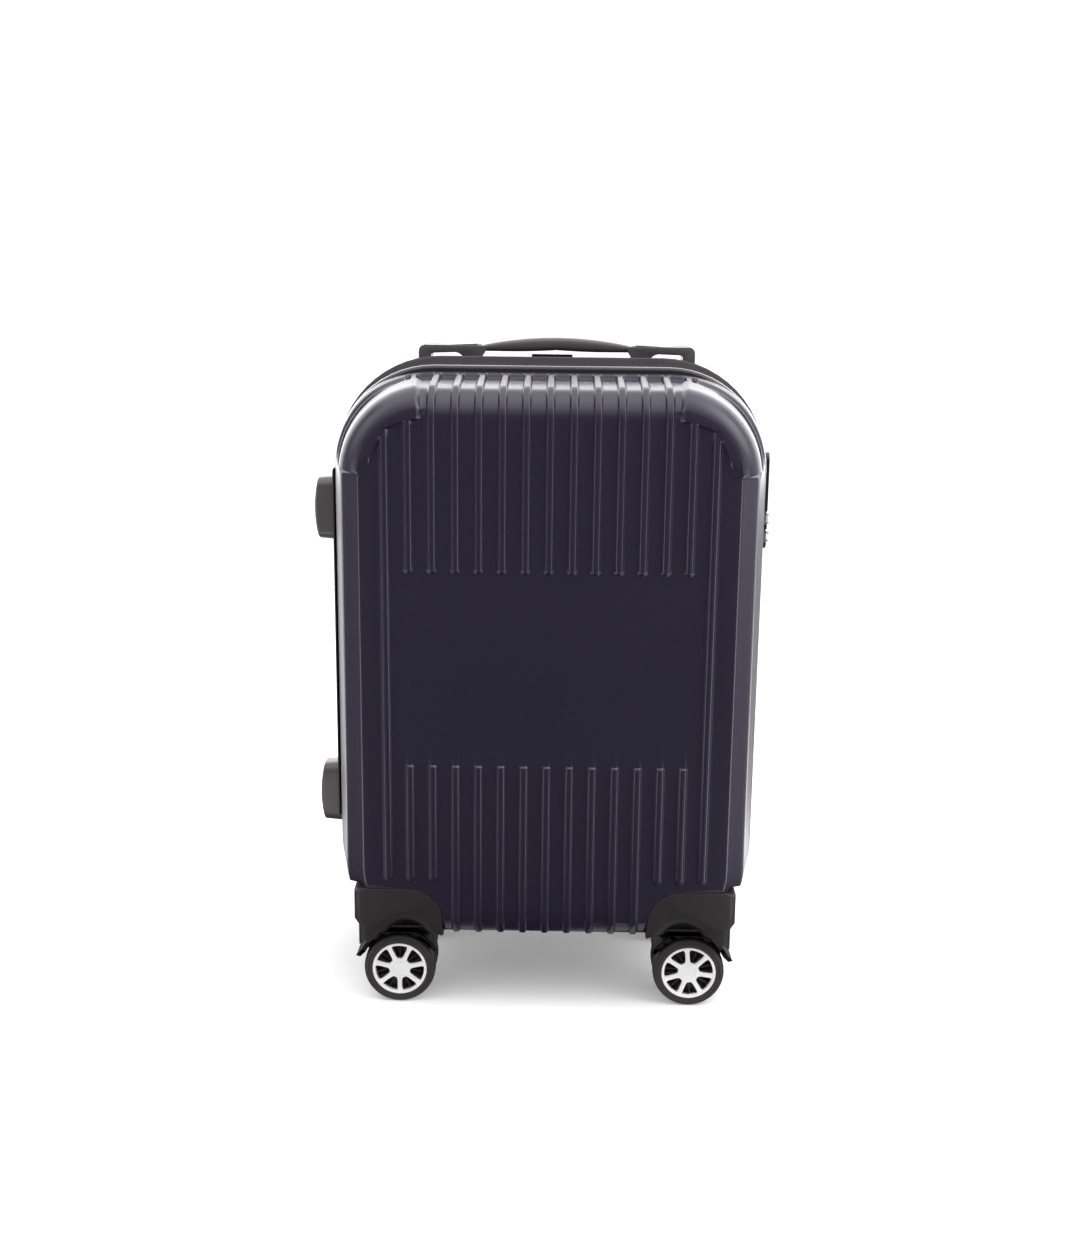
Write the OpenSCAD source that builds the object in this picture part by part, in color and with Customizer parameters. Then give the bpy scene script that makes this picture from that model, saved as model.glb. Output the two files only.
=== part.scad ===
// Hard shell cabin suitcase on four twin-wheel casters.
// X runs to the right, Y from the front face to the back and Z up from the floor.
// The case opens like a book about a fabric hinge on its left side.

/* [Shells] */
// Width across the rims, where the two shells meet the zip
rim_w = 342; // [320:1:400]
// Height of the rims, from their underside to their top
rim_h = 460; // [440:1:560]
// Corner radius of the rims
rim_r = 78; // [70:1:90]
// Depth of the front shell, from its face to its rim
front_depth = 73; // [72:1:110]
// Depth of the rear shell, from its face to its rim
rear_depth = 93; // [90:1:130]
// Thickness of the moulded shells
shell_wall = 2.5; // [1.5:0.1:3]
// How far the outline of a face lies inside the rim
face_inset = 22; // [18:1:28]
// How far the outline at the foot of the bevel lies inside the rim
bevel_inset = 9; // [6:0.5:12]
// Depth of the bevel between a face and the walls
bevel_depth = 13; // [9:1:18]
// The same inset at the underside, which has hardly any draft
bottom_inset = 0.4; // [0:0.1:4]

/* [Ribs] */
// Width of one rib
rib_w = 7; // [5:0.5:9]
// Height of a rib above the face
rib_h = 2.5; // [1.5:0.1:3]
// Distance from rib to rib
rib_pitch = 18.25; // [16:0.25:19]
// Ribs on each side of the middle one
rib_side = 6; // [4:1:6]
// Lower end of the upper ribs, above the underside of the rims
upper_rib_z = 308; // [270:1:340]
// Upper end of the lower ribs, above the underside of the rims
lower_rib_z = 153; // [120:1:200]

/* [Zip band] */
// Width of the whole band from shell to shell
band_d = 32; // [28:1:48]
// How far the band stands proud of the rims at the sides
band_side = 6; // [4:0.5:9]
// How far the rear half of the band stands proud of the rims at the top
band_top = 11; // [8:0.5:13]
// The same for the front half, which lies lower
band_top_front = 6; // [4:0.5:8]
// How far the band stands proud of the rims underneath
band_under = 0.5; // [0:0.1:1]
// Corner radius of the band
band_r = 86; // [80:1:96]
// Gap between the two halves of the band
zip_gap = 0.4; // [0.3:0.1:1]
// Thickness of the fabric hinge
hinge_t = 1.6; // [1:0.1:2.4]
// Height of the fabric hinge
hinge_h = 300; // [200:1:320]

/* [Casters] */
// Radius of a wheel
wheel_r = 30; // [26:0.5:32]
// Width of one tyre
tyre_w = 16; // [12:0.5:18]
// Radius of a hub, where the tyre is moulded on
hub_r = 23.5; // [20:0.5:24.5]
// Windows in the face of a hub
hub_windows = 7; // [5:1:9]
// Thickness of the web that carries the axle between the twin wheels
web_t = 8; // [6:0.5:10]
// Distance from the kingpin to the axle, seen from above
trail = 14; // [11:0.5:16]
// Radius of an axle
axle_r = 2.5; // [2:0.1:3]
// Radius of a kingpin
kingpin_r = 4; // [3:0.1:5]
// Radial clearance of a shaft that turns in its bore
run_clear = 0.05; // [0.02:0.01:0.1]
// Gap between a tyre and the hood over it
tyre_gap = 2.2; // [1.5:0.1:2.6]
// Thickness of the hood
hood_t = 2.8; // [2:0.1:3]
// Distance of the kingpins from the faces of the case
kingpin_in = 38; // [36:0.5:40]
// How far the rims clear the tops of the wheels
rim_over_wheel = 4; // [3.5:0.5:8]

/* [Wheel housings] */
// How far the outer side of a housing lies inside the rim
housing_side_in = 14; // [10:0.5:18]
// Width of a housing, seen from the front
housing_w = 73; // [70:0.5:80]
// Height of the top of a housing above the underside of the rims
housing_rise = 45; // [45:1:70]
// Radius of the upper inner corner of a housing
housing_r = 28; // [20:1:32]
// Wall of a housing
housing_wall = 3; // [2:0.1:4]
// Distance from the kingpin to the back of a housing
housing_back = 31; // [31:0.1:31.5]
// Distance from the outer side of a housing to the kingpin
kingpin_side = 49.5; // [47:0.5:52]
// How far the skirt hangs below the rims
skirt_drop = 6; // [2:0.5:7]
// Height of the ceiling of the wheel well above the hood
well_rise = 2.5; // [1.5:0.5:6]
// Height of the kingpin's boss above that ceiling
boss_h = 22; // [16:1:24]
// Space round the swinging wheels in the well
well_clear = 4; // [2:0.5:6]
// Radius of the flared arch in the front wall
arch_r = 38; // [36:0.5:40]
// Height of the arch's centre above the floor
arch_z = 50; // [46:0.5:52]
// How far the skirt steps in from the side of a housing
skirt_in = 3.5; // [1:0.5:4]
// Space between a housing and the pocket that it sits in
fit_gap = 0.3; // [0.1:0.1:0.6]

/* [Trolley] */
// Distance of a tube from the middle of the case
tube_x = 66; // [50:1:66]
// Width of the outer tubes
tube_w = 24; // [22:0.5:26]
// Depth of the outer tubes
tube_d = 14; // [13:0.5:16]
// Wall of every tube
tube_wall = 1; // [0.8:0.1:1.2]
// Gap between one tube and the next
tube_gap = 0.3; // [0.2:0.1:0.4]
// Distance of the tubes from the back face of the case
tube_in = 21; // [20:0.5:24]
// Width of the grip
grip_w = 168; // [160:1:180]
// Depth of the grip, front to back
grip_d = 22; // [20:0.5:24]
// Height of the grip's bar
grip_h = 24; // [20:0.5:28]
// How far the top of the grip stands above the rims
grip_proud = 5; // [2:0.5:8]
// Width of the release button
button_w = 36; // [28:1:44]
// How far the release button stands above the grip
button_proud = 5; // [4.8:0.1:6]
// Depth of the cup that the grip sinks into, below the rims
cup_depth = 38; // [36:1:44]
// Finger space in front of the grip
finger_gap = 14; // [12:0.5:16]

/* [Carry handle] */
// Length of the handle with its brackets
handle_l = 230; // [210:1:250]
// Height of the handle's top above the rims
handle_rise = 26; // [24:0.5:34]
// Space between the brackets and the cup of the trolley
handle_gap = 6; // [4:0.5:8]
// Width of the brackets, front to back
bracket_d = 24; // [22:0.5:26]
// Length of one bracket
bracket_l = 49; // [46:0.5:54]
// Height of the brackets above the rims
bracket_rise = 19; // [17:0.5:22]
// Thickness of the strap
strap_t = 5; // [4:0.1:6]
// Width of the strap, front to back
strap_d = 16; // [14:0.5:17]
// How far the carry handle stands off the middle, towards the lock
handle_shift = 4; // [0:0.5:6]
// Thickness of the grip at its middle
strap_mid_t = 9; // [7:0.5:11]

/* [Lock] */
// Height of the lock's middle above the underside of the rims
lock_z = 353; // [330:1:380]
// Height of the lock
lock_h = 82; // [78:1:96]
// Width of the lock, front to back
lock_w = 34; // [32:0.5:38]
// How far the lock stands proud of the band
lock_proud = 6; // [5.5:0.1:8]
// Radius of a number dial
dial_r = 5.6; // [5:0.1:6]
// Thickness of a number dial
dial_t = 4.6; // [4:0.1:5]
// Distance from dial to dial
dial_pitch = 8; // [7.5:0.1:9]

/* [Side feet] */
// How far the feet stand proud of the band
foot_proud = 26; // [20:0.5:28]
// Height of one foot
foot_h = 62; // [50:1:70]
// Width of one foot, front to back
foot_w = 36; // [28:1:40]
// Height of the lower foot's middle above the underside of the rims
lower_foot_z = 82; // [81:1:110]
// Height of the upper foot's middle above the underside of the rims
upper_foot_z = 339; // [300:1:350]

/* [Hidden] */
$fn = 48;
arc_steps = 8;
slab_t = 0.02;
rim_over = 5;
corners = [["front_left", -1, -1], ["front_right", 1, -1], ["rear_left", -1, 1], ["rear_right", 1, 1]];
caster_parts = ["housing", "fork", "kingpin", "axle", "outer_hub", "outer_tyre", "inner_hub", "inner_tyre"];

navy = [0.1, 0.09, 0.2];
black = [0.06, 0.06, 0.065];
grey = [0.3, 0.3, 0.31];
silver = [0.8, 0.8, 0.82];
steel = [0.6, 0.61, 0.63];

// Heights
rim_bottom = 2 * wheel_r + rim_over_wheel;
rim_top = rim_bottom + rim_h;

// Depths, with the ribs of both faces the same distance from the middle
half_depth = (front_depth + rear_depth + band_d) / 2;
front_face_y = -half_depth;
front_rim_y = front_face_y + front_depth;
rear_rim_y = front_rim_y + band_d;
rear_face_y = half_depth;
split_y = front_rim_y + band_d / 2;

// Widths; the case stands to the right so that the whole object is centred
band_half = rim_w / 2 + band_side;
foot_x = band_half + foot_proud;
lock_x = band_half + lock_proud;
case_x = (foot_proud - lock_proud) / 2;

// The edge of a shell as [depth from the face, inset, inset underneath]
edge_mid_depth = bevel_depth * 0.3;
edge_mid_inset = bevel_inset + (face_inset - bevel_inset) * 0.55;
bottom_face_inset = bottom_inset + face_inset - bevel_inset + 3;
bottom_mid_inset = bottom_inset + (bottom_face_inset - bottom_inset) * 0.5;

// Casters, measured from the kingpin
wheel_side_gap = 1;
wheel_in = web_t / 2 + wheel_side_gap;
caster_half = wheel_in + tyre_w;
hood_r = wheel_r + tyre_gap + hood_t;
hood_top = rim_bottom - 0.5;
housing_half = rim_w / 2 - housing_side_in;
kingpin_x = housing_half - kingpin_side;
kingpin_y = half_depth - kingpin_in;
skirt_z = rim_bottom - skirt_drop;
well_top = wheel_r + hood_r + well_rise;
well_r = norm([trail + sqrt(pow(hood_r, 2) - pow(skirt_z - wheel_r, 2)), caster_half]) + well_clear;
housing_top = rim_bottom + housing_rise;
housing_inner = kingpin_side - housing_w;
boss_r = kingpin_r + 5;
boss_top = well_top + boss_h;
arch_x = trail - 5.5;
skirt_step_z = skirt_z + 20;
hub_cover = 1.2;
hub_side_gap = 0.4;

// Trolley
tube_y = rear_face_y - tube_in;
cup_top = rim_top + grip_proud - 2;
cup_floor = rim_top - cup_depth;
cup_floor_t = 6;
cup_wall = 3;
cup_collar = 4;
tube_rise = 3.5;
cup_side_gap = 8;
cup_back_gap = 4;
cup_edge = cup_wall + cup_collar;
cup_half = grip_w / 2 + cup_side_gap;
cup_front_y = tube_y - grip_d / 2 - finger_gap;
cup_back_y = tube_y + grip_d / 2 + cup_back_gap;
tube_bottom = rim_bottom + shell_wall + tube_rise;
foot_block_wall = 2;
foot_block_rise = 8;
tube_corner = 3;
leg_gap = 3;
grip_top = rim_top + grip_proud;
grip_bottom = grip_top - grip_h;
button_travel = 4.5;
button_top = grip_top + button_proud;
button_depth = 13;
button_d = 12;
slide_gap = 0.3;

// Carry handle
handle_mid_y = cup_front_y - cup_wall - handle_gap - bracket_d / 2;
bracket_top = rim_top + bracket_rise;
plate_t = 7;
tab_bottom = rim_top - 1.5;
tab_end = handle_l / 2 - 12;
leg_w = 10;
cheek_w = 16;
elbow_x = handle_l / 2 - bracket_l;
handle_top = rim_top + handle_rise;

// Lock and pull tabs
lock_mid_z = rim_bottom + lock_z;
lock_y = rear_rim_y + 1;
tab_slot_d = 9.5;
plate_y = lock_y + tab_slot_d + 1.5;
plate_w = lock_w - tab_slot_d - 4;
plate_mid_y = plate_y + plate_w / 2;
dial_x = lock_x - dial_r - 0.2;
dial_z = lock_mid_z + 20;
dial_gap = 0.3;
dial_trough = 1.2;
dial_pin_r = 1.5;
plate_h = 42;
plate_z = lock_mid_z - lock_h / 2 + 4;
lock_plate_t = 1.2;
slider_z = plate_z + 13;
slider_w = 8;
slider_travel = 4;
slider_t = 2.3;
tab_z = [lock_mid_z - 12, lock_mid_z - 27];
tab_pin_x = lock_x - 1.7;
tab_pin_y = split_y + 2;
tab_w = 5.6;
tab_t = 1.8;
tab_eye_r = 1.5;
tab_pin_r = 0.6;

// Side feet
foot_mid_y = rear_rim_y + 36;
foot_base_t = 3;

// Screws
screw_r = 1.75;
screw_head_r = 4;
screw_head_t = 2;
screw_play = 0.15;
screw_drop = 0.5;
housing_screw_x = [10, 36];
housing_screw_y = -10;

// Hinge axes of the fabric strip
hinge_x = -(band_half + 0.3 + hinge_t / 2);
hinge_rear_y = rear_rim_y - 1;
hinge_front_y = front_rim_y + 1;
hinge_mid_z = (rim_bottom + rim_top) / 2;

// Points along an arc, both ends included
function arc(cx, cy, r, a0, a1) =
    [for (i = [0:arc_steps]) let (a = a0 + (a1 - a0) * i / arc_steps) [cx + r * cos(a), cy + r * sin(a)]];

// Rounded rectangle from x0 to x1 and y0 to y1
function rounded(x0, x1, y0, y1, r) = concat(
    arc(x1 - r, y1 - r, r, 0, 90), arc(x0 + r, y1 - r, r, 90, 180),
    arc(x0 + r, y0 + r, r, 180, 270), arc(x1 - r, y0 + r, r, 270, 360));

module at_case() {
    translate([case_x, 0, 0]) children();
}

// Draws an outline given in X and Z, from y0 to y1
module upright(y0, y1) {
    translate([0, y1, 0]) rotate([90, 0, 0]) linear_extrude(y1 - y0) children();
}

// Draws an outline given in Y and Z, from x0 to x1
module sideways(x0, x1) {
    translate([x0, 0, 0]) rotate([90, 0, 90]) linear_extrude(x1 - x0) children();
}

// Draws an upright block between two corners
module block(low, high) {
    translate(low) cube(high - low);
}

// One thin cross-section of a shell, t behind its face, all its walls inset by g
module shell_slab(t, inset, under, g) {
    upright(t, t + slab_t)
        polygon(rounded(-rim_w / 2 + inset + g, rim_w / 2 - inset - g,
            rim_bottom + under + g, rim_top - inset - g, rim_r - inset - g));
}

// The solid form of a shell with its face at y = 0 and its rim at y = depth
module shell_form(depth, g = 0, over = 0) {
    hull() {
        shell_slab(g, face_inset, bottom_face_inset, g);
        shell_slab(max(edge_mid_depth, g), edge_mid_inset, bottom_mid_inset, g);
        shell_slab(bevel_depth, bevel_inset, bottom_inset, g);
        shell_slab(depth + over - slab_t, 0, 0, g);
    }
}

module at_front() {
    translate([0, front_face_y, 0]) children();
}

module at_rear() {
    translate([0, rear_face_y, 0]) mirror([0, 1, 0]) children();
}

// Front view of a housing, outward to +X, grown by g
module housing_outline(x1, z0, g) {
    x0 = kingpin_x + housing_inner - g;
    z1 = housing_top + g;
    r = housing_r + g;
    step = [[x1 - skirt_in, z0], [x1 - skirt_in, skirt_step_z], [x1, skirt_step_z + skirt_in]];
    polygon(concat([[x0, z0]], step, [[x1, z1]], arc(x0 + r, z1 - r, r, 90, 180)));
}

// The pocket for a housing in each lower corner of a shell, its face at y = 0
module pockets(g) {
    for (side = [0, 1])
        mirror([side, 0, 0])
            upright(-10, kingpin_in + housing_back + g)
                housing_outline(rim_w, 0, g);
}

// Holes in the pocket roofs for the housing screws
module housing_screw_holes() {
    for (side = [-1, 1], x = housing_screw_x)
        translate([side * (kingpin_x + x), kingpin_in - housing_screw_y, housing_top - 1])
            cylinder(h = shell_wall + 3, r = screw_r + screw_play);
}

edge_rib_x = (rib_side + 1) * rib_pitch;

// A rib from z0 to z1 with round ends, standing on a face at y = 0
module rib(x, z0, z1) {
    upright(-rib_h, 1) {
        translate([x - rib_w / 2, z0 + rib_w / 2]) square([rib_w, z1 - z0 - rib_w]);
        for (z = [z0 + rib_w / 2, z1 - rib_w / 2])
            translate([x, z]) circle(r = rib_w / 2);
    }
}

// Lowest point of a rib at x: the face's edge, or the housing under it
function rib_low(x) =
    abs(x) + rib_w / 2 > kingpin_x + housing_inner ? housing_top + 2 : rim_bottom + bottom_face_inset + 1;

// Height of the roof of a shell at x, where its outline lies inside the rim by an inset
function roof_z(x, inset) = let (c = rim_w / 2 - rim_r, out = abs(x) - c)
    rim_top - rim_r + (out <= 0 ? rim_r - inset : sqrt(pow(rim_r - inset, 2) - out * out));

// Highest point of a rib at x
function rib_high(x) = roof_z(abs(x) + rib_w / 2, face_inset) - 1;

// How far a wall lies inside the rim, t behind the face
function wall_inset(depth, t) = bevel_inset * (depth - t) / (depth - bevel_depth);

module shell(depth) {
    difference() {
        shell_form(depth);
        difference() {
            shell_form(depth, shell_wall, rim_over);
            pockets(fit_gap + shell_wall);
        }
        pockets(fit_gap);
        housing_screw_holes();
    }
    for (side = [-1, 1])
        rib(side * edge_rib_x, housing_top + 3, rib_high(edge_rib_x));
}

module front_shell() {
    at_case() color(navy) at_front() {
        shell(front_depth);
        for (i = [-rib_side:rib_side]) {
            rib(i * rib_pitch, rib_low(i * rib_pitch), rim_bottom + lower_rib_z);
            rib(i * rib_pitch, rim_bottom + upper_rib_z, rib_high(i * rib_pitch));
        }
    }
}

module rear_shell() {
    at_case() color(navy) difference() {
        at_rear() {
            shell(rear_depth);
            for (i = [-rib_side:rib_side])
                rib(i * rib_pitch, rib_low(i * rib_pitch), cup_floor - 10);
        }
        block([-cup_half - cup_wall, cup_front_y - cup_wall, cup_floor - cup_floor_t - 1],
            [cup_half + cup_wall, cup_back_y + cup_wall, rim_top + 10]);
        for (x = [-1, 1], y = [-1, 1])
            translate([handle_shift + x * (handle_l / 2 - leg_w / 2), handle_mid_y + y * 7, rim_top - 20])
                cylinder(h = 30, r = screw_r + screw_play);
    }
}

// One half of the zip band, a ring from y0 to y1
module zip_ring(y0, y1, rise) {
    upright(y0, y1) difference() {
        polygon(rounded(-band_half, band_half, rim_bottom - band_under, rim_top + rise, band_r));
        polygon(rounded(-rim_w / 2 + shell_wall, rim_w / 2 - shell_wall,
            rim_bottom + shell_wall, rim_top - shell_wall, rim_r - shell_wall));
    }
}

module front_zip_tape() {
    at_case() color(black) zip_ring(front_rim_y, split_y - zip_gap / 2, band_top_front);
}

module rear_zip_tape() {
    at_case() color(black) zip_ring(split_y + zip_gap / 2, rear_rim_y, band_top);
}

// The fabric strip that folds once at each of its two edges
module hinge_strip() {
    at_case() color(black) translate([hinge_x, 0, hinge_mid_z - hinge_h / 2]) linear_extrude(hinge_h) {
        translate([-hinge_t / 2, hinge_front_y]) square([hinge_t, hinge_rear_y - hinge_front_y]);
        for (y = [hinge_front_y, hinge_rear_y])
            translate([0, y]) circle(d = hinge_t);
    }
}

// The lining panel in front of the trolley tubes
module rear_lining() {
    panel_t = 2.5;
    panel_y = tube_y - tube_d / 2 - 3.5 - panel_t;
    at_case() color(grey) intersection() {
        difference() {
            block([-rim_w / 2, panel_y, rim_bottom],
                [rim_w / 2, panel_y + panel_t, cup_floor - cup_floor_t - 4]);
            at_rear() pockets(fit_gap + shell_wall);
        }
        at_rear() shell_form(rear_depth, shell_wall, rim_over);
    }
}

module zip_sliders() {
    body_x = band_half + 0.5;
    body_t = 2;
    body_h = 8;
    ear_t = 1;
    at_case() color(silver) for (z = tab_z) {
        block([body_x, split_y - 5, z - body_h / 2], [body_x + body_t, split_y + 5, z + body_h / 2]);
        for (side = [-1, 1])
            translate([0, 0, z + side * (tab_w / 2 + 0.3 + ear_t / 2)])
                block([body_x + 0.5, tab_pin_y - 1.5, -ear_t / 2],
                    [tab_pin_x + 1.3, tab_pin_y + 1.5, ear_t / 2]);
        translate([tab_pin_x, tab_pin_y, z - tab_w / 2 - 0.8]) cylinder(h = tab_w + 1.6, r = tab_pin_r);
    }
}

module pull_tab(z) {
    tab_l = lock_y + tab_slot_d - 0.7 - tab_pin_y;
    at_case() color(silver) translate([tab_pin_x, tab_pin_y, z - tab_w / 2]) difference() {
        union() {
            cylinder(h = tab_w, r = tab_eye_r);
            translate([-tab_t / 2, 0, 0]) cube([tab_t, tab_l, tab_w]);
        }
        translate([0, 0, -1]) cylinder(h = tab_w + 2, r = tab_pin_r + run_clear);
    }
}

// The lock on the right wall of the rear shell
module lock_body() {
    r = 8;
    at_case() color(black) {
        difference() {
            sideways(rim_w / 2 - bevel_inset - 4, lock_x)
                polygon(rounded(lock_y, lock_y + lock_w,
                    lock_mid_z - lock_h / 2, lock_mid_z + lock_h / 2, r));
            at_rear() shell_form(rear_depth);
            for (z = tab_z)
                block([tab_pin_x - tab_eye_r - 0.5, lock_y - 1, z - tab_w / 2 - 0.4],
                    [lock_x + 1, lock_y + tab_slot_d, z + tab_w / 2 + 0.4]);
            translate([0, plate_mid_y, dial_z])
                block([dial_x - dial_r - dial_gap, -dial_r - dial_gap, -dial_pitch - dial_t / 2 - dial_gap],
                    [lock_x + 1, dial_r + dial_gap, dial_pitch + dial_t / 2 + dial_gap]);
            translate([0, plate_mid_y, dial_z])
                block([lock_x - dial_trough, -plate_w / 2, -dial_pitch - dial_t / 2 - 3],
                    [lock_x + 1, plate_w / 2, dial_pitch + dial_t / 2 + 3]);
            block([lock_x - lock_plate_t, plate_y, plate_z],
                [lock_x + 1, plate_y + plate_w, plate_z + plate_h]);
            block([lock_x - lock_plate_t - slider_t - slide_gap, plate_mid_y - slider_w / 2 - slide_gap,
                    slider_z - slider_w / 2 - slide_gap],
                [lock_x + 1, plate_mid_y + slider_w / 2 + slide_gap,
                    slider_z + slider_w / 2 + slider_travel + slide_gap]);
        }
        translate([dial_x, plate_mid_y, dial_z - dial_pitch - dial_t / 2 - 2])
            cylinder(h = 2 * dial_pitch + dial_t + 4, r = dial_pin_r);
    }
}

module lock_plate() {
    at_case() color(silver) difference() {
        block([lock_x - lock_plate_t, plate_y, plate_z], [lock_x, plate_y + plate_w, plate_z + plate_h]);
        block([lock_x - 5, plate_mid_y - slider_w / 2 - slide_gap, slider_z - slider_w / 2 - slide_gap],
            [lock_x + 1, plate_mid_y + slider_w / 2 + slide_gap,
                slider_z + slider_w / 2 + slider_travel + slide_gap]);
        translate([lock_x - 3, plate_mid_y, slider_z + 21]) rotate([0, 90, 0]) cylinder(h = 5, r = 3);
    }
}

module lock_slider() {
    at_case() color(black)
        block([lock_x - lock_plate_t - slider_t, plate_mid_y - slider_w / 2, slider_z - slider_w / 2],
            [lock_x - 0.2, plate_mid_y + slider_w / 2, slider_z + slider_w / 2]);
}

module dial(i) {
    at_case() color(silver) translate([dial_x, plate_mid_y, dial_z + (2 - i) * dial_pitch - dial_t / 2])
        difference() {
            cylinder(h = dial_t, r = dial_r);
            translate([0, 0, -1]) cylinder(h = dial_t + 2, r = dial_pin_r + run_clear);
        }
}

// A straight tube standing on z0 in both places of the trolley
module tube_pair(w, d, z0, z1) {
    for (side = [-1, 1])
        translate([side * tube_x, tube_y, z0]) linear_extrude(z1 - z0) difference() {
            polygon(rounded(-w / 2, w / 2, -d / 2, d / 2, tube_corner));
            polygon(rounded(-w / 2 + tube_wall, w / 2 - tube_wall, -d / 2 + tube_wall, d / 2 - tube_wall, 2));
        }
}

tube_step = 2 * (tube_wall + tube_gap);

module outer_tubes() {
    at_case() color(steel) tube_pair(tube_w, tube_d, tube_bottom, cup_floor);
}

module middle_tubes() {
    at_case() color(steel) tube_pair(tube_w - tube_step, tube_d - tube_step, tube_bottom + 4, cup_floor + 1);
}

module inner_tubes() {
    at_case() color(steel)
        tube_pair(tube_w - 2 * tube_step, tube_d - 2 * tube_step, tube_bottom + 8, grip_bottom);
}

// The cup that the grip sinks into, with a collar that follows the shell
module trolley_bezel() {
    at_case() color(black) difference() {
        union() {
            block([-cup_half - cup_wall, cup_front_y - cup_wall, cup_floor - cup_floor_t],
                [cup_half + cup_wall, cup_back_y + cup_wall, cup_top]);
            difference() {
                block([-cup_half - cup_edge, cup_front_y - cup_edge, rim_top - face_inset],
                    [cup_half + cup_edge, rear_face_y, cup_top]);
                at_rear() shell_form(rear_depth);
            }
        }
        block([-cup_half, cup_front_y, cup_floor], [cup_half, cup_back_y, cup_top + 1]);
        for (side = [-1, 1])
            translate([side * tube_x, tube_y, cup_floor - cup_floor_t - 1]) linear_extrude(cup_floor_t + 2)
                polygon(rounded(-tube_w / 2, tube_w / 2, -tube_d / 2, tube_d / 2, tube_corner));
    }
}

module trolley_grip() {
    leg_w_x = tube_w + 2;
    leg_w_y = tube_d + 4;
    at_case() color(black) translate([0, tube_y, 0]) difference() {
        union() {
            translate([0, 0, grip_bottom]) linear_extrude(grip_h)
                polygon(rounded(-grip_w / 2, grip_w / 2, -grip_d / 2, grip_d / 2, 8));
            for (side = [-1, 1])
                translate([side * tube_x - leg_w_x / 2, -leg_w_y / 2, cup_floor + leg_gap])
                    cube([leg_w_x, leg_w_y, grip_bottom - cup_floor]);
        }
        for (side = [-1, 1])
            translate([side * tube_x, 0, cup_floor]) linear_extrude(grip_bottom - cup_floor)
                polygon(rounded(-tube_w / 2 + tube_step, tube_w / 2 - tube_step,
                    -tube_d / 2 + tube_step, tube_d / 2 - tube_step, tube_corner));
        pocket_z = button_top - button_depth - button_travel - slide_gap;
        block([-button_w / 2 - slide_gap, -button_d / 2 - slide_gap, pocket_z],
            [button_w / 2 + slide_gap, button_d / 2 + slide_gap, grip_top + 1]);
    }
}

module grip_button() {
    at_case() color(black) translate([0, tube_y, button_top - button_depth]) linear_extrude(button_depth)
        polygon(rounded(-button_w / 2, button_w / 2, -button_d / 2, button_d / 2, 3));
}

// The block on the floor of the rear shell that holds the tubes
module trolley_foot() {
    at_case() color(black) difference() {
        intersection() {
            block([-tube_x - tube_w / 2 - foot_block_wall, tube_y - tube_d / 2 - foot_block_wall, rim_bottom],
                [tube_x + tube_w / 2 + foot_block_wall, tube_y + tube_d / 2 + foot_block_wall,
                    tube_bottom + foot_block_rise]);
            at_rear() shell_form(rear_depth, shell_wall, rim_over);
        }
        for (side = [-1, 1])
            translate([side * tube_x, tube_y, tube_bottom]) linear_extrude(20)
                polygon(rounded(-tube_w / 2, tube_w / 2, -tube_d / 2, tube_d / 2, tube_corner));
    }
}

// A bracket of the carry handle, outward to +X and moved outward by shift
module bracket(shift) {
    x1 = handle_l / 2 + shift;
    x0 = x1 - bracket_l;
    y0 = handle_mid_y - bracket_d / 2;
    y1 = handle_mid_y + bracket_d / 2;
    z0 = rim_top - 8;
    cheek = (bracket_d - strap_d) / 2 - 0.4;
    color(black) difference() {
        union() {
            block([x0, y0, bracket_top - plate_t], [x1, y1, bracket_top]);
            block([x1 - leg_w, y0, z0], [x1, y1, bracket_top]);
            block([x0, y0, z0], [x0 + cheek_w, y0 + cheek, bracket_top]);
            block([x0, y1 - cheek, z0], [x0 + cheek_w, y1, bracket_top]);
        }
        at_rear() shell_form(rear_depth);
        for (y = [-1, 1])
            translate([x1 - leg_w / 2, handle_mid_y + y * 7, z0 - 1]) cylinder(h = 15, r = screw_r);
    }
}

module bracket_left() {
    at_case() mirror([1, 0, 0]) bracket(-handle_shift);
}

module bracket_right() {
    at_case() bracket(handle_shift);
}

// Half of the handle's side view, from its end tab up the elbow to the middle
function strap_line(low) = let (
    run = 10,
    rise = handle_top - bracket_top,
    z_tab = tab_bottom + (low ? 0 : strap_t),
    z_end = bracket_top - (low ? strap_t + 1.5 : 0),
    z_mid = handle_top - (low ? strap_mid_t : 0))
    concat([[tab_end, z_tab], [elbow_x - (low ? 4 : 1.5), z_tab]],
        [for (i = [0:arc_steps]) let (s = i / arc_steps)
            [(elbow_x - run) * (1 - s), z_end + (z_mid - z_end) * sin(90 * s)]]);

module carry_grip() {
    top = strap_line(false);
    under = strap_line(true);
    at_case() color(black) translate([handle_shift, handle_mid_y, 0]) for (side = [0, 1])
        mirror([side, 0, 0]) upright(-strap_d / 2, strap_d / 2)
            polygon(concat(top, [for (i = [len(under) - 1:-1:0]) under[i]]));
}

// The two bump feet on the left wall of the rear shell
module side_feet() {
    pad_h = foot_h - 9;
    pad_w = foot_w - 8;
    wall_x = rim_w / 2 - bevel_inset * 0.45;
    at_case() color(black) difference() {
        for (z = [lower_foot_z, upper_foot_z])
            translate([0, foot_mid_y, rim_bottom + z]) {
                sideways(-wall_x - foot_base_t, -wall_x + 8)
                    polygon(rounded(-foot_w / 2, foot_w / 2, -foot_h / 2, foot_h / 2, 10));
                sideways(-foot_x, -wall_x)
                    polygon(rounded(-pad_w / 2, pad_w / 2, -pad_h / 2, pad_h / 2, 10));
            }
        at_rear() shell_form(rear_depth);
    }
}

// A screw with its head at z = 0 and its shank pointing down
module screw(length) {
    cylinder(h = screw_head_t, r = screw_head_r);
    translate([0, 0, -length]) cylinder(h = length + 1, r = screw_r);
}

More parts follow.
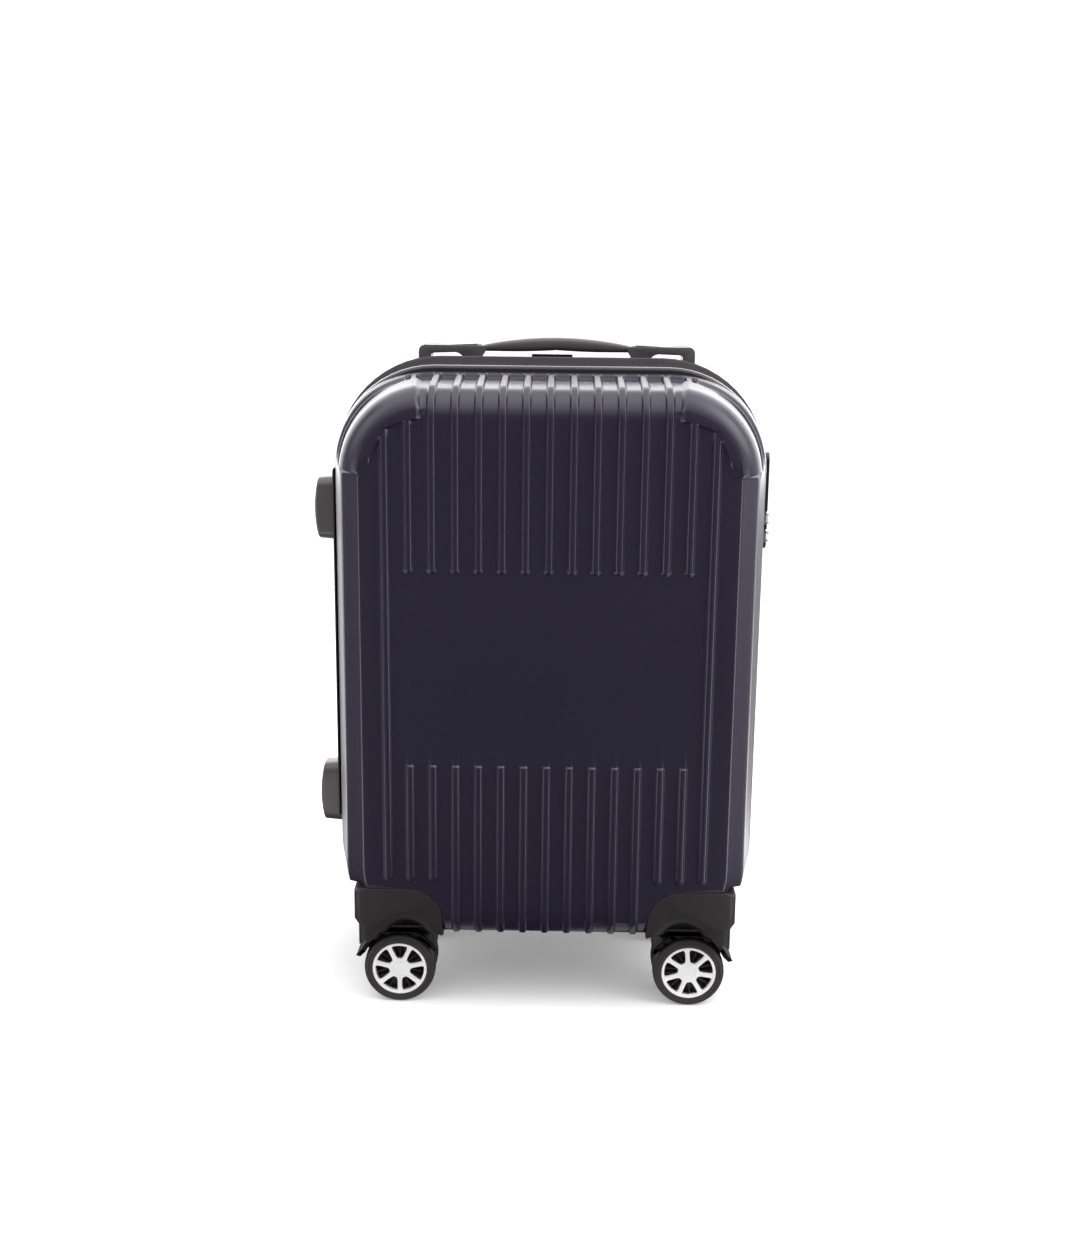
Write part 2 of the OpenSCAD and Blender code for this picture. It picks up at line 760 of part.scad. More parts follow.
// The screws through the pocket roofs of one shell, its face at y = 0
module housing_screws() {
    for (side = [-1, 1], x = housing_screw_x)
        translate([side * (kingpin_x + x), kingpin_in - housing_screw_y, housing_top + fit_gap + shell_wall])
            screw(shell_wall + fit_gap + housing_wall);
}

module case_screws() {
    x = handle_l / 2 - leg_w / 2;
    at_case() color(steel) {
        at_rear() housing_screws();
        for (side = [-1, 1], y = [handle_mid_y - 7, handle_mid_y + 7])
            translate([handle_shift + side * x, y, roof_z(x + side * handle_shift + screw_head_r,
                wall_inset(rear_depth, rear_face_y - y - screw_head_r)) - shell_wall - screw_drop])
                mirror([0, 0, 1]) screw(10);
    }
}

module lid_screws() {
    at_case() color(steel) at_front() housing_screws();
}

// Places a piece drawn round its kingpin, with +X outward and +Y towards the face
module at_corner(c) {
    at_case() translate([c[1] * kingpin_x, c[2] * kingpin_y, 0])
        mirror([c[1] < 0 ? 1 : 0, 0, 0]) mirror([0, c[2] < 0 ? 1 : 0, 0]) children();
}

// The flared arch in the front wall of a housing, its walls moved out by g
module arch_flare(g = 0) {
    run = arch_r + arch_z - well_top;
    translate([arch_x, kingpin_in + 0.01, arch_z]) rotate([90, 0, 0])
        cylinder(h = run, r1 = arch_r + g, r2 = arch_r + g - run);
}

// The inside of a housing above the ceiling of its well
module housing_hollow() {
    w = housing_wall;
    x0 = housing_inner + w;
    x1 = kingpin_side - w;
    z1 = housing_top - w;
    r = housing_r - w;
    upright(-housing_back - 1, kingpin_in - w)
        polygon(concat([[x0, well_top + w], [x1 - skirt_in, well_top + w], [x1 - skirt_in, skirt_step_z],
            [x1, skirt_step_z + skirt_in], [x1, z1]], arc(x0 + r, z1 - r, r, 90, 180)));
}

// The wheel housing: a skirt round the well, with a boss for the kingpin in its roof
module housing() {
    edge_r = 12;
    color(black) difference() {
        union() {
            difference() {
                intersection() {
                    translate([-kingpin_x, 0, 0]) upright(-housing_back, kingpin_in)
                        housing_outline(kingpin_x + kingpin_side, skirt_z, 0);
                    translate([0, 0, skirt_z]) linear_extrude(housing_top)
                        polygon(concat([[housing_inner, -housing_back], [kingpin_side, -housing_back]],
                            arc(kingpin_side - edge_r, kingpin_in - edge_r, edge_r, 0, 90),
                            [[housing_inner, kingpin_in]]));
                }
                block([housing_inner + housing_wall, -housing_back + housing_wall, 0],
                    [kingpin_side - skirt_in - housing_wall, kingpin_in - housing_wall, well_top]);
                difference() {
                    housing_hollow();
                    arch_flare(housing_wall);
                }
            }
            translate([0, 0, well_top]) cylinder(h = boss_h, r = boss_r);
        }
        cylinder(h = well_top, r = well_r);
        arch_flare();
        translate([0, 0, well_top - 1]) cylinder(h = housing_top, r = kingpin_r + run_clear);
        for (x = housing_screw_x)
            translate([x, housing_screw_y, housing_top - housing_wall - 1])
                cylinder(h = housing_wall + 2, r = screw_r);
    }
}

// Draws a front view round the axle, from y0 to y1
module round_axle(y0, y1) {
    translate([trail, 0, wheel_r]) upright(y0, y1) children();
}

// The web between the wheels, the hood over them and the swivel boss
module fork() {
    tail_angle = 9;
    nose_angle = 132;
    reach = 2 * hood_r;
    swivel_r = 12;
    color(black) difference() {
        union() {
            difference() {
                union() {
                    round_axle(-web_t / 2, web_t / 2) {
                        intersection() {
                            circle(r = hood_r);
                            translate([-hood_r, -4]) square([2 * hood_r - 6, reach]);
                        }
                        circle(r = axle_r + 5);
                    }
                    round_axle(-caster_half, caster_half) difference() {
                        intersection() {
                            circle(r = hood_r);
                            polygon([[0, 0], reach * [cos(tail_angle), sin(tail_angle)], [reach, reach],
                                [-reach, reach], reach * [cos(nose_angle), sin(nose_angle)]]);
                        }
                        circle(r = hood_r - hood_t);
                    }
                }
                block([-reach, -reach, hood_top], [reach, reach, hood_top + hood_r]);
            }
            difference() {
                translate([0, 0, wheel_r]) cylinder(h = well_top - wheel_r - 0.5, r = swivel_r);
                round_axle(-caster_half, caster_half) circle(r = hood_r - hood_t / 2);
            }
        }
        translate([0, 0, 2 * wheel_r]) cylinder(h = well_top, r = kingpin_r);
        round_axle(-caster_half, caster_half) circle(r = axle_r);
    }
}

module kingpin() {
    head_t = 3;
    color(steel) {
        translate([0, 0, 2 * wheel_r]) cylinder(h = boss_top + 1 - 2 * wheel_r, r = kingpin_r);
        translate([0, 0, boss_top + 0.4]) cylinder(h = head_t, r = kingpin_r + 2);
    }
}

module axle() {
    half = caster_half - hub_cover - 1.4;
    color(steel) round_axle(-half, half) circle(r = axle_r);
}

// Places a piece drawn with its inner side at y = 0 on the outer or the inner wheel
module on_wheel(outer) {
    translate([trail, 0, wheel_r]) mirror([0, outer ? 0 : 1, 0]) translate([0, wheel_in, 0]) children();
}

// A spoked hub with a blind bore, its windows sunk into the outer face
module hub() {
    spoke_w = 4.6;
    sink = 6;
    rim_in = hub_r - 3.2;
    core_r = 9;
    face_y = tyre_w - 0.4;
    color(silver) difference() {
        upright(hub_side_gap, face_y) circle(r = hub_r);
        upright(0, face_y - hub_cover) circle(r = axle_r + run_clear);
        upright(face_y - sink, tyre_w) for (i = [0:hub_windows - 1])
            rotate(360 * i / hub_windows) polygon(window(rim_in, core_r, spoke_w));
    }
}

// One window between two spokes, from radius r0 to r1, its sides parallel to the spokes
function window(r1, r0, spoke_w) = let (half = 180 / hub_windows,
    a1 = half - asin(spoke_w / 2 / r1),
    a0 = half - asin(spoke_w / 2 / r0))
    concat(arc(0, 0, r1, -a1, a1), arc(0, 0, r0, a0, -a0));

module tyre() {
    shoulder = 4;
    side_in = 0.2;
    color(black) rotate([-90, 0, 0]) rotate_extrude()
        polygon(concat([[hub_r, side_in + 0.2], [hub_r, tyre_w - side_in]],
            [for (i = [arc_steps:-1:0]) let (a = 90 * i / arc_steps)
                [wheel_r - shoulder + shoulder * cos(a), tyre_w - shoulder + shoulder * sin(a)]],
            [for (i = [0:arc_steps]) let (a = 90 * i / arc_steps)
                [wheel_r - shoulder + shoulder * cos(a), shoulder - shoulder * sin(a)]]));
}

front_shell();
rear_shell();
front_zip_tape();
rear_zip_tape();
hinge_strip();
rear_lining();
zip_sliders();
pull_tab(tab_z[0]);  // pull_tab_upper
pull_tab(tab_z[1]);  // pull_tab_lower
lock_body();
lock_plate();
lock_slider();
dial(1);  // dial_1
dial(2);  // dial_2
dial(3);  // dial_3
trolley_bezel();
outer_tubes();
middle_tubes();
inner_tubes();
trolley_grip();
grip_button();
trolley_foot();
bracket_left();
bracket_right();
carry_grip();
side_feet();
case_screws();
lid_screws();
for (c = corners) {
    at_corner(c) housing();
    at_corner(c) fork();
    at_corner(c) kingpin();
    at_corner(c) axle();
    at_corner(c) on_wheel(true) hub();
    at_corner(c) on_wheel(true) tyre();
    at_corner(c) on_wheel(false) hub();
    at_corner(c) on_wheel(false) tyre();
}
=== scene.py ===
import itertools
import math
import bmesh
import bpy
from mathutils import Matrix, Vector


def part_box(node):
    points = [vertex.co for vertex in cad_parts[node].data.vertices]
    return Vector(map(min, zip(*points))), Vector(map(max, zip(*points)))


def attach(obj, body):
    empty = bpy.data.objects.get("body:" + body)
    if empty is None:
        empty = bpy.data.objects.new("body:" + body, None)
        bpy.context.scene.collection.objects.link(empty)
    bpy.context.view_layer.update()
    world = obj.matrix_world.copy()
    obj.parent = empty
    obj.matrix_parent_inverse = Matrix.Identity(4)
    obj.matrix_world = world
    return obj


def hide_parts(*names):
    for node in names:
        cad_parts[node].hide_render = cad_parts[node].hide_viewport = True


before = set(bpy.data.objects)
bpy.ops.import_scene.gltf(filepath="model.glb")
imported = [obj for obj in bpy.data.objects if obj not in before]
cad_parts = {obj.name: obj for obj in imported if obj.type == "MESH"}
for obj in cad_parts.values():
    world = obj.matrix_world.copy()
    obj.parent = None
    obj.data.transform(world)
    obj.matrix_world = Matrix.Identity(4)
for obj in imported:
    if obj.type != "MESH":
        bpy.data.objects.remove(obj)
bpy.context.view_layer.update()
scene = bpy.context.scene
print("frame loaded")


# ---- places that several pieces share, in millimetres from the middle of the case

mm = 0.001
caseX = (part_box("rear_shell")[0].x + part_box("rear_shell")[1].x) / 2
caseShift = Vector((caseX, 0, 0))


def low(node):
    return (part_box(node)[0] - caseShift) / mm


def high(node):
    return (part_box(node)[1] - caseShift) / mm


def middle(node):
    return (low(node) + high(node)) / 2


rimHalf = high("rear_shell").x
rimBottom = low("rear_shell").z
rimTop = high("rear_shell").z
rimRadius = 78
lowRadius = 62
frontRim = high("front_shell").y
rearRim = low("rear_shell").y
frontFace = frontRim - 73
rearFace = rearRim + 93
bandHalf = high("front_zip_tape").x
bandBottom = low("front_zip_tape").z
frontBandTop = high("front_zip_tape").z
rearBandTop = high("rear_zip_tape").z
split = (high("front_zip_tape").y + low("rear_zip_tape").y) / 2
housingTop = high("housing_front_left").z
housingInner = -high("housing_front_left").x
housingOuter = -low("housing_front_left").x
kingpinX = -middle("kingpin_front_left").x
kingpinY = middle("kingpin_rear_left").y
axleZ = middle("axle_front_left").z
wheelX = -middle("axle_front_left").x - kingpinX
cornerSigns = {"front_left": (-1, -1), "front_right": (1, -1), "rear_left": (-1, 1), "rear_right": (1, 1)}


# ---- materials

class Wire:  # a socket that can stand in a sum
    def __init__(self, finish, socket):
        self.finish = finish
        self.socket = socket

    def math(self, operation, *values):
        return self.finish.node("ShaderNodeMath", {"operation": operation}, dict(enumerate(values)))

    def __add__(self, other):
        return self.math("ADD", self, other)

    def __radd__(self, other):
        return self.math("ADD", other, self)

    def __sub__(self, other):
        return self.math("SUBTRACT", self, other)

    def __rsub__(self, other):
        return self.math("SUBTRACT", other, self)

    def __mul__(self, other):
        return self.math("MULTIPLY", self, other)

    def __rmul__(self, other):
        return self.math("MULTIPLY", other, self)

    def sin(self):
        return self.math("SINE", self)

    def size(self):
        return self.math("ABSOLUTE", self)

    def above(self, limit):
        return self.math("GREATER_THAN", self, limit)

    def power(self, exponent):
        return self.math("POWER", self, exponent)


class Finish:  # a material with one principled shader
    def __init__(self, name, **constants):
        self.material = bpy.data.materials.new(name)
        self.material.use_nodes = True
        tree = self.material.node_tree
        self.nodes = tree.nodes
        self.links = tree.links
        self.nodes.clear()
        self.shader = self.nodes.new("ShaderNodeBsdfPrincipled")
        output = self.nodes.new("ShaderNodeOutputMaterial")
        self.links.new(self.shader.outputs[0], output.inputs[0])
        for key, value in constants.items():
            self.shader.inputs[key.replace("_", " ")].default_value = value

    def node(self, kind, settings=None, values=None, output=0):
        made = self.nodes.new(kind)
        for key, value in (settings or {}).items():
            setattr(made, key, value)
        for key, value in (values or {}).items():
            self.put(made.inputs[key], value)
        return Wire(self, made.outputs[output])

    def put(self, socket, value):
        if isinstance(value, Wire):
            self.links.new(value.socket, socket)
        else:
            socket.default_value = value

    def drive(self, key, wire):
        self.links.new(wire.socket, self.shader.inputs[key])

    def place(self, output="Object"):
        return self.node("ShaderNodeTexCoord", output=output)

    def axes(self, vector=None):
        outputs = self.node("ShaderNodeSeparateXYZ", values={0: vector or self.place()}).socket.node.outputs
        return [Wire(self, output) for output in outputs]

    def noise(self, scale, detail=3, vector=None):
        return self.node("ShaderNodeTexNoise", values={
            "Vector": vector or self.place(), "Scale": scale, "Detail": detail})

    def ramp(self, value, low, high):
        return self.node("ShaderNodeMapRange", {"interpolation_type": "SMOOTHSTEP"}, {
            "Value": value, "From Min": low, "From Max": high})

    def stretched(self, scale):
        return self.node("ShaderNodeMapping", values={"Vector": self.place(), "Scale": scale})

    def tint(self, amount, first, second):
        self.drive("Base Color", self.node("ShaderNodeMix", {"data_type": "RGBA"}, {
            0: amount, 6: (*first, 1), 7: (*second, 1)}, 2))

    def relief(self, height, strength, distance):
        self.drive("Normal", self.node("ShaderNodeBump", values={
            "Height": height, "Strength": strength, "Distance": distance}))


def absFinish():  # moulded shell with a fine diamond grain
    look = {"colour": (0.0125, 0.0095, 0.024), "worn": (0.017, 0.013, 0.032),
        "grain": 0.00165, "depth": 0.00006}
    f = Finish("absShell", IOR=1.5)
    x, y, z = f.axes()
    k = math.pi / look["grain"]
    front = ((x + z + y) * k).sin() * ((x - z - y) * k).sin()
    side = ((z + y) * k).sin() * ((z - y) * k).sin()
    onSide = f.axes(f.place("Normal"))[0].size().above(0.45)
    f.tint(f.noise(5, 1), look["colour"], look["worn"])
    f.drive("Roughness", 0.26 + f.noise(6, 1) * 0.06)
    f.relief(front + (side - front) * onSide, 0.6, look["depth"])
    return f.material


def grainedFinish(name, colour, roughness, grain=900, depth=0.00008, **constants):
    f = Finish(name, **constants)
    f.tint(f.noise(25, 4), [c * 0.85 for c in colour], [c * 1.2 for c in colour])
    f.drive("Roughness", roughness - 0.05 + f.noise(60, 3) * 0.1)
    f.relief(f.noise(grain, 2), 0.6, depth)
    return f.material


def archPaintedShadeFinish():  # painted shade: the deep part of a wheel arch is darkened by its shade attribute, standing in for the shadow inside the arch
    f = Finish("archPlasticPaintedShade", Specular_IOR_Level=0.35)
    daylight = 1 - f.node("ShaderNodeAttribute", {"attribute_name": "shade"}, output="Fac")
    # painted shade: the colour falls to near black where the shade attribute is high
    f.tint(daylight * (0.8 + f.noise(25, 4) * 0.4), (0.001, 0.001, 0.001), (0.019, 0.0158, 0.0165))
    f.drive("Roughness", 0.95 - daylight * 0.45)
    f.relief(f.noise(900, 2), 0.6, 0.00008)
    return f.material


def setFinish(name, matt, seen, mirrored):
    # a matt surface with one glow for the camera and another, alone, for reflections
    f = Finish(name, Roughness=1.0, Specular_IOR_Level=0.0, Emission_Strength=1.0)
    camera, glossy = [f.node("ShaderNodeLightPath", output=key) for key in ("Is Camera Ray", "Is Glossy Ray")]
    x, y, z = f.axes()
    f.tint(glossy, (matt,) * 3, (0, 0, 0))
    f.drive("Emission Color", camera * seen(f, x, y) + glossy * mirrored(f, x, y))
    return f.material


def wovenFinish(name, colour, lighter, thread):
    f = Finish(name, Roughness=0.85)
    x, y, z = f.axes()
    k = math.pi / thread
    weave = ((x + z) * k).sin() * ((y - z + x * 0.3) * k).sin()
    f.tint((weave * 0.5 + 0.5) * f.noise(40, 3), colour, lighter)
    f.relief(weave, 0.7, 0.00018)
    return f.material


def metalFinish(name, colour, roughness, streak):
    f = Finish(name, Metallic=1.0)
    brushed = f.noise(1, 4, f.stretched(streak))
    f.tint(brushed, [c * 0.85 for c in colour], colour)
    f.drive("Roughness", roughness - 0.06 + brushed * 0.12)
    f.relief(brushed, 0.3, 0.00001)
    return f.material


def quiltFinish():  # printed lining cloth with small lozenges
    f = Finish("liningCloth", Roughness=0.8, Sheen_Weight=0.2)
    x, y, z = f.axes()
    k = math.pi / 0.011
    lozenge = (((x + z) * k).sin() * ((x - z) * k).sin()).size().power(0.3)
    weave = ((x + y) * 5200).sin() * ((z + y) * 5200).sin()
    f.tint(lozenge, (0.22, 0.22, 0.24), (0.085, 0.085, 0.095))
    f.relief(weave * 0.3 + lozenge, 0.5, 0.0003)
    return f.material


paint = {
    "shell": absFinish(),
    "trim": grainedFinish("housingPlastic", (0.021, 0.0185, 0.019), 0.46),
    "arch": archPaintedShadeFinish(),
    "fork": grainedFinish("forkPlastic", (0.009, 0.008, 0.008), 0.65, Specular_IOR_Level=0.12),
    "handle": grainedFinish("softTouch", (0.068, 0.058, 0.062), 0.36, 700, 0.00004),
    "gloss": grainedFinish("glossPlastic", (0.012, 0.011, 0.013), 0.16, 300, 0.00001),
    "tape": wovenFinish("zipTape", (0.02, 0.017, 0.02), (0.055, 0.049, 0.054), 0.0011),
    "vinyl": grainedFinish("pipingVinyl", (0.012, 0.01, 0.012), 0.22, 500, 0.00003),
    "teeth": grainedFinish("zipTeeth", (0.016, 0.015, 0.016), 0.28, 300, 0.00001),
    "lining": quiltFinish(),
    "web": wovenFinish("webbing", (0.015, 0.015, 0.016), (0.05, 0.05, 0.055), 0.0015),
    "chrome": metalFinish("satinChrome", (0.8, 0.8, 0.82), 0.2, (60, 60, 60)),
    "tube": metalFinish("brushedTube", (0.42, 0.425, 0.44), 0.32, (900, 900, 4)),
    "steel": metalFinish("zincSteel", (0.6, 0.6, 0.62), 0.33, (80, 80, 80)),
    "hub": grainedFinish("hubPaint", (0.88, 0.87, 0.875), 0.22, 500, 0.00001),
    "core": grainedFinish("hubCore", (0.03, 0.026, 0.027), 0.35, 500, 0.00003),
    "tyre": grainedFinish("tyreRubber", (0.043, 0.038, 0.039), 0.5, 700, 0.00004, Specular_IOR_Level=0.2),
}
print("materials made")


# ---- shared modelling helpers; every mesh is made in millimetres in the case's own place

def move(bm, way):
    bmesh.ops.translate(bm, vec=way, verts=bm.verts)


def stretch(bm, factors):
    bmesh.ops.scale(bm, vec=factors, verts=bm.verts)


def rotate(bm, matrix):
    bmesh.ops.rotate(bm, cent=(0, 0, 0), matrix=matrix, verts=bm.verts)


def flip(bm):
    bmesh.ops.reverse_faces(bm, faces=bm.faces)


def mendNormals(bm):
    bmesh.ops.recalc_face_normals(bm, faces=bm.faces)


def only(kind, elements):
    return [element for element in elements if isinstance(element, kind)]


def makeObject(name, bm, material):
    mesh = bpy.data.meshes.new(name)
    bm.to_mesh(mesh)
    bm.free()
    mesh.materials.append(material)
    made = bpy.data.objects.new(name, mesh)
    scene.collection.objects.link(made)
    return made


def finish(name, bm, body, paintName, slotName, replaces=(), sharp=32):
    stretch(bm, (mm, mm, mm))
    move(bm, caseShift)
    for face in bm.faces:
        face.smooth = True
    piece = makeObject(name, bm, paint[paintName])
    piece.data.set_sharp_from_angle(angle=math.radians(sharp))
    if replaces:
        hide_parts(*replaces)
    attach(piece, body)
    return piece


def repaint(node, paintName, width=0.0):  # a frame piece that keeps its mesh
    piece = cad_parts[node]
    piece.data.materials.clear()
    piece.data.materials.append(paint[paintName])
    if width:
        edge = piece.modifiers.new("edge", "BEVEL")
        edge.width = width * mm
        edge.segments = 2
        edge.limit_method = "ANGLE"
        edge.angle_limit = math.radians(35)
        edge.harden_normals = False


def bevelEdges(bm, edges, radius, segments=3):
    bmesh.ops.bevel(bm, geom=list(edges), offset=radius, offset_type="OFFSET", segments=segments,
        profile=0.5, affect="EDGES", material=-1, clamp_overlap=True)


def roundVerts(bm, verts, roundings, segments):
    for vert, radius in zip(verts, roundings or []):
        if radius:
            bmesh.ops.bevel(bm, geom=[vert], offset=radius, offset_type="OFFSET", segments=segments,
                profile=0.5, affect="VERTICES", material=-1)


def block(bm, lowCorner, highCorner, radius=0.0):
    lowCorner, highCorner = Vector(lowCorner), Vector(highCorner)
    own = bmesh.new()
    bmesh.ops.create_cube(own, size=1)
    stretch(own, highCorner - lowCorner)
    move(own, (lowCorner + highCorner) / 2)
    if radius:
        bevelEdges(own, own.edges, radius, 2)
    join(bm, own)


def join(bm, other):
    mesh = bpy.data.meshes.new("joined")
    other.to_mesh(mesh)
    other.free()
    bm.from_mesh(mesh)
    bpy.data.meshes.remove(mesh)


def slab(outline, thickness, roundings=None, segments=5, edge=0.0):
    # one plate: a few outline corners, the radius of each, and its thickness as a vector
    bm = bmesh.new()
    verts = [bm.verts.new(p) for p in outline]
    bm.faces.new(verts)
    roundVerts(bm, verts, roundings, segments)
    made = bmesh.ops.extrude_face_region(bm, geom=bm.faces[:])["geom"]
    bmesh.ops.translate(bm, vec=thickness, verts=only(bmesh.types.BMVert, made))
    mendNormals(bm)
    if edge:
        bevelEdges(bm, [e for e in bm.edges if e.calc_face_angle(0) > 0.7], edge, 2)
    return bm


def plate(outline, y, depth, *rounding):  # a slab that faces the front
    return slab([(x, y, z) for x, z in outline], (0, depth, 0), *rounding)


def sidePlate(outline, x, depth, *rounding):  # a slab that faces the side
    return slab([(x, y, z) for y, z in outline], (depth, 0, 0), *rounding)


def rectangle(x0, z0, x1, z1):
    return [(x0, z0), (x1, z0), (x1, z1), (x0, z1)]


def ray(degrees):
    return Vector((math.cos(math.radians(degrees)), math.sin(math.radians(degrees))))


def arc(centre, radius, angles):
    return [tuple(Vector(centre) + ray(angle) * radius) for angle in angles]


def cutAcross(bm, spot, out, faces=None, dist=1e-4):
    geom = bm.faces[:] + bm.edges[:] + bm.verts[:]
    if faces is not None:
        geom = list({*faces, *(e for f in faces for e in f.edges), *(v for f in faces for v in f.verts)})
    return bmesh.ops.bisect_plane(bm, geom=geom, dist=dist, plane_co=spot, plane_no=out)["geom"]


def facesNear(bm, nearby):
    return [f for f in bm.faces if nearby(f.calc_center_median())]


def extrudeRow(bm, row, edges, mover, closed=False):
    # one more row of faces along a chain of edges; mover gives each new place
    made = bmesh.ops.extrude_edge_only(bm, edges=edges)["geom"]
    fresh = set(only(bmesh.types.BMVert, made))
    row = [next(e.other_vert(v) for e in v.link_edges if e.other_vert(v) in fresh) for v in row]
    for k, vert in enumerate(row):
        vert.co = mover(k)
    return row, [bm.edges.get(pair) for pair in zip(row, row[1:] + row[:1] if closed else row[1:])]


def lathe(profile, roundings=None, steps=48, centre=(0, 0, 0), axis=(0, 0, 1)):
    # a closed loop of (radius, place along the axis), turned about the axis
    bm = bmesh.new()
    verts = [bm.verts.new((r, 0, a)) for r, a in profile]
    for pair in zip(verts, verts[1:] + verts[:1]):
        bm.edges.new(pair)
    roundVerts(bm, verts, roundings, 3)
    bmesh.ops.spin(bm, geom=bm.verts[:] + bm.edges[:], cent=(0, 0, 0), axis=(0, 0, 1), angle=math.tau,
        steps=steps, use_merge=True)
    bmesh.ops.remove_doubles(bm, verts=bm.verts, dist=0.001)
    mendNormals(bm)
    turn = Vector((0, 0, 1)).rotation_difference(Vector(axis)).to_matrix()
    rotate(bm, turn)
    move(bm, centre)
    return bm


def smoothStep(value):
    value = min(max(value, 0.0), 1.0)
    return value * value * (3 - 2 * value)


def filletPath(points, radii, steps):
    # the polyline with each inner corner rounded
    path = [Vector(points[0])]
    for before, corner, after, radius in zip(points, points[1:], points[2:], radii):
        before, corner, after = Vector(before), Vector(corner), Vector(after)
        inward = (before - corner).normalized()
        outward = (after - corner).normalized()
        half = inward.angle(outward) / 2
        centre = corner + (inward + outward).normalized() * radius / math.sin(half)
        start = corner + inward * radius / math.tan(half) - centre
        end = corner + outward * radius / math.tan(half) - centre
        path += [centre + start.lerp(end, k / steps).normalized() * radius for k in range(steps + 1)]
    return path + [Vector(points[-1])]


def alongPath(path, share):
    lengths = [(b - a).length for a, b in zip(path, path[1:])]
    left = min(max(share, 0.0), 1.0) * sum(lengths)
    for a, b, length in zip(path, path[1:], lengths):
        if left <= length:
            return a.lerp(b, left / length)
        left -= length
    return path[-1].copy()


def depthAt(path, inset):
    for a, b in zip(path, path[1:]):
        if b.x <= inset <= a.x and a.x > b.x:
            return a.y + (b.y - a.y) * (a.x - inset) / (a.x - b.x)
    return 0.0


def rimWays(steps):  # each corner's side, its height and the way out, all round the case
    return [(sx, sz, ray(first + 90 * k / steps)) for sx, sz, first in (
        (1, -1, -90), (1, 1, 0), (-1, 1, 90), (-1, -1, 180)) for k in range(steps + 1)]


def rimPlace(outline, sx, sz, way, out):
    half, bottom, top, radius = outline
    if sz < 0:
        radius -= rimRadius - lowRadius
    core = Vector((sx * (half - radius), top - radius if sz > 0 else bottom + radius))
    return core + way * (radius + out)


def ringSweep(profile, outlines, steps=14):
    # a ring round the case; profile holds (way out, y, share, lean), and share blends the two outlines
    bm = bmesh.new()
    ways = rimWays(steps)

    def mover(stop):
        out, y, share, lean = (*stop, 0, 0)[:4]
        outline = [a + (b - a) * share for a, b in zip(*outlines)]

        def place(k):
            spot = rimPlace(outline, *ways[k], out)
            return (spot.x, y + lean * ways[k][2].x ** 2, spot.y)
        return place

    row = [bm.verts.new(mover(profile[0])(k)) for k in range(len(ways))]
    edges = [bm.edges.new(pair) for pair in zip(row, row[1:] + row[:1])]
    for stop in profile[1:] + profile[:1]:
        row, edges = extrudeRow(bm, row, edges, mover(stop), True)
    bmesh.ops.remove_doubles(bm, verts=bm.verts, dist=0.001)
    mendNormals(bm)
    return bm


def ringPoints(outline, out, pitch):
    # evenly spaced places along a ring, with the way that it runs at each
    points = [rimPlace(outline, *way, out) for way in rimWays(24)]
    points.append(points[0])
    count = int(sum((b - a).length for a, b in zip(points, points[1:])) / pitch)
    halves = [alongPath(points, k / 2 / count) for k in range(2 * count)]
    return [(spot, (ahead - spot).normalized()) for spot, ahead in zip(halves[::2], halves[1::2])]


# ---- shells

shellForm = {
    "path": [(34.8, 0), (22.8, 0), (9.5, 13)],            # (inset from the rim, depth behind the face)
    "roundings": [4, 9],
    "topRoundings": [23, 14],
    "guard": [(34.8, -2.5), (8.0, -2.5), (2.6, 45)],      # the same for the upper corners
    "guardRounding": 21,
    "flare": (1.6, 3.2),
    "underInset": 16.4,
    "underDepth": 26,
    "wall": 2.4,
    "ribPitch": 18.25,
    "ribSide": 6,
    "crest": 2.0,
    "foot": 4.0,
    "rise": 2.5,
    "roofGroove": (7.8, 5.0),                             # inset of a groove's floor at its front and back
    "roofCrest": (7.0, 0.9),
    "grooveEnd": (64.6, 67.6),
    "underEnd": 14,
    "guardEnd": 113.5,
    "ridge": 127.75,
    "ridgeEnds": (116, 486),
    "guardEdge": [(-100.5, 600), (-100.5, 492.5), (-113, 490), (-128, 484), (-140, 458), (-171, 448.5)],
    "guardTurn": (3.0, 85.0),
    "guardSoft": (1.6, 5.0),
    "sideGroove": (65.3, 2.2, 1.1),                       # depth behind the face, half width, how deep
    "grooveRows": [60, 62, 63.6, 64.6, 65.3, 66, 66.7, 67.6, 69, 70.5, 71.6, 72.4],
    "rows": (448.2, 449.8, 451.5, 455, 460, 465, 470, 475, 480, 484, 487, 490, 492.5, 494.5, 496.5, 498.5),
    "columns": (98.9, 100.5, 102.1, 117, 122, 134, 138, 142),
    "flank": (0.01, 1.9, 2.5, 3.1, 3.7, 4.4),
    "pocket": (0.35, 28.3, 69.4, 9),                      # gap, corner radius, depth, cover over the housing
    "cup": (2, 1.5, 504),                                 # room beside and before the trolley's cup, its foot
    "beads": (48.5, 53.0, 57.5),
    "beadHeight": 0.9,
}


def capsule(across, along, start, end):
    # 1 on the crest of a bar with round ends, 0 beyond its foot
    foot, crest = shellForm["foot"], shellForm["crest"]
    beyond = max(start + foot - along, along - end + foot, 0.0)
    return smoothStep((foot - math.hypot(across, beyond)) / (foot - crest))


def wayOut(x, z):
    radius = rimRadius if z > (rimBottom + rimTop) / 2 else lowRadius
    reach = rimHalf - radius
    core = Vector((min(max(x, -reach), reach), min(max(z, rimBottom + radius), rimTop - radius)))
    return core, (Vector((x, z)) - core).normalized(), radius


def guardDistance(x, z):
    # how far inside the guard's edge a place on the face lies, above 0 inside
    spot = Vector((-abs(x), z))
    found = []
    for a, b in zip(shellForm["guardEdge"], shellForm["guardEdge"][1:]):
        a, run = Vector(a), Vector(b) - Vector(a)
        along = min(max((spot - a).dot(run) / run.length_squared, 0), 1)
        found.append(((spot - a - run * along).length, -run.cross(spot - a)))
    return math.copysign(*min(found, key=lambda pair: pair[0]))


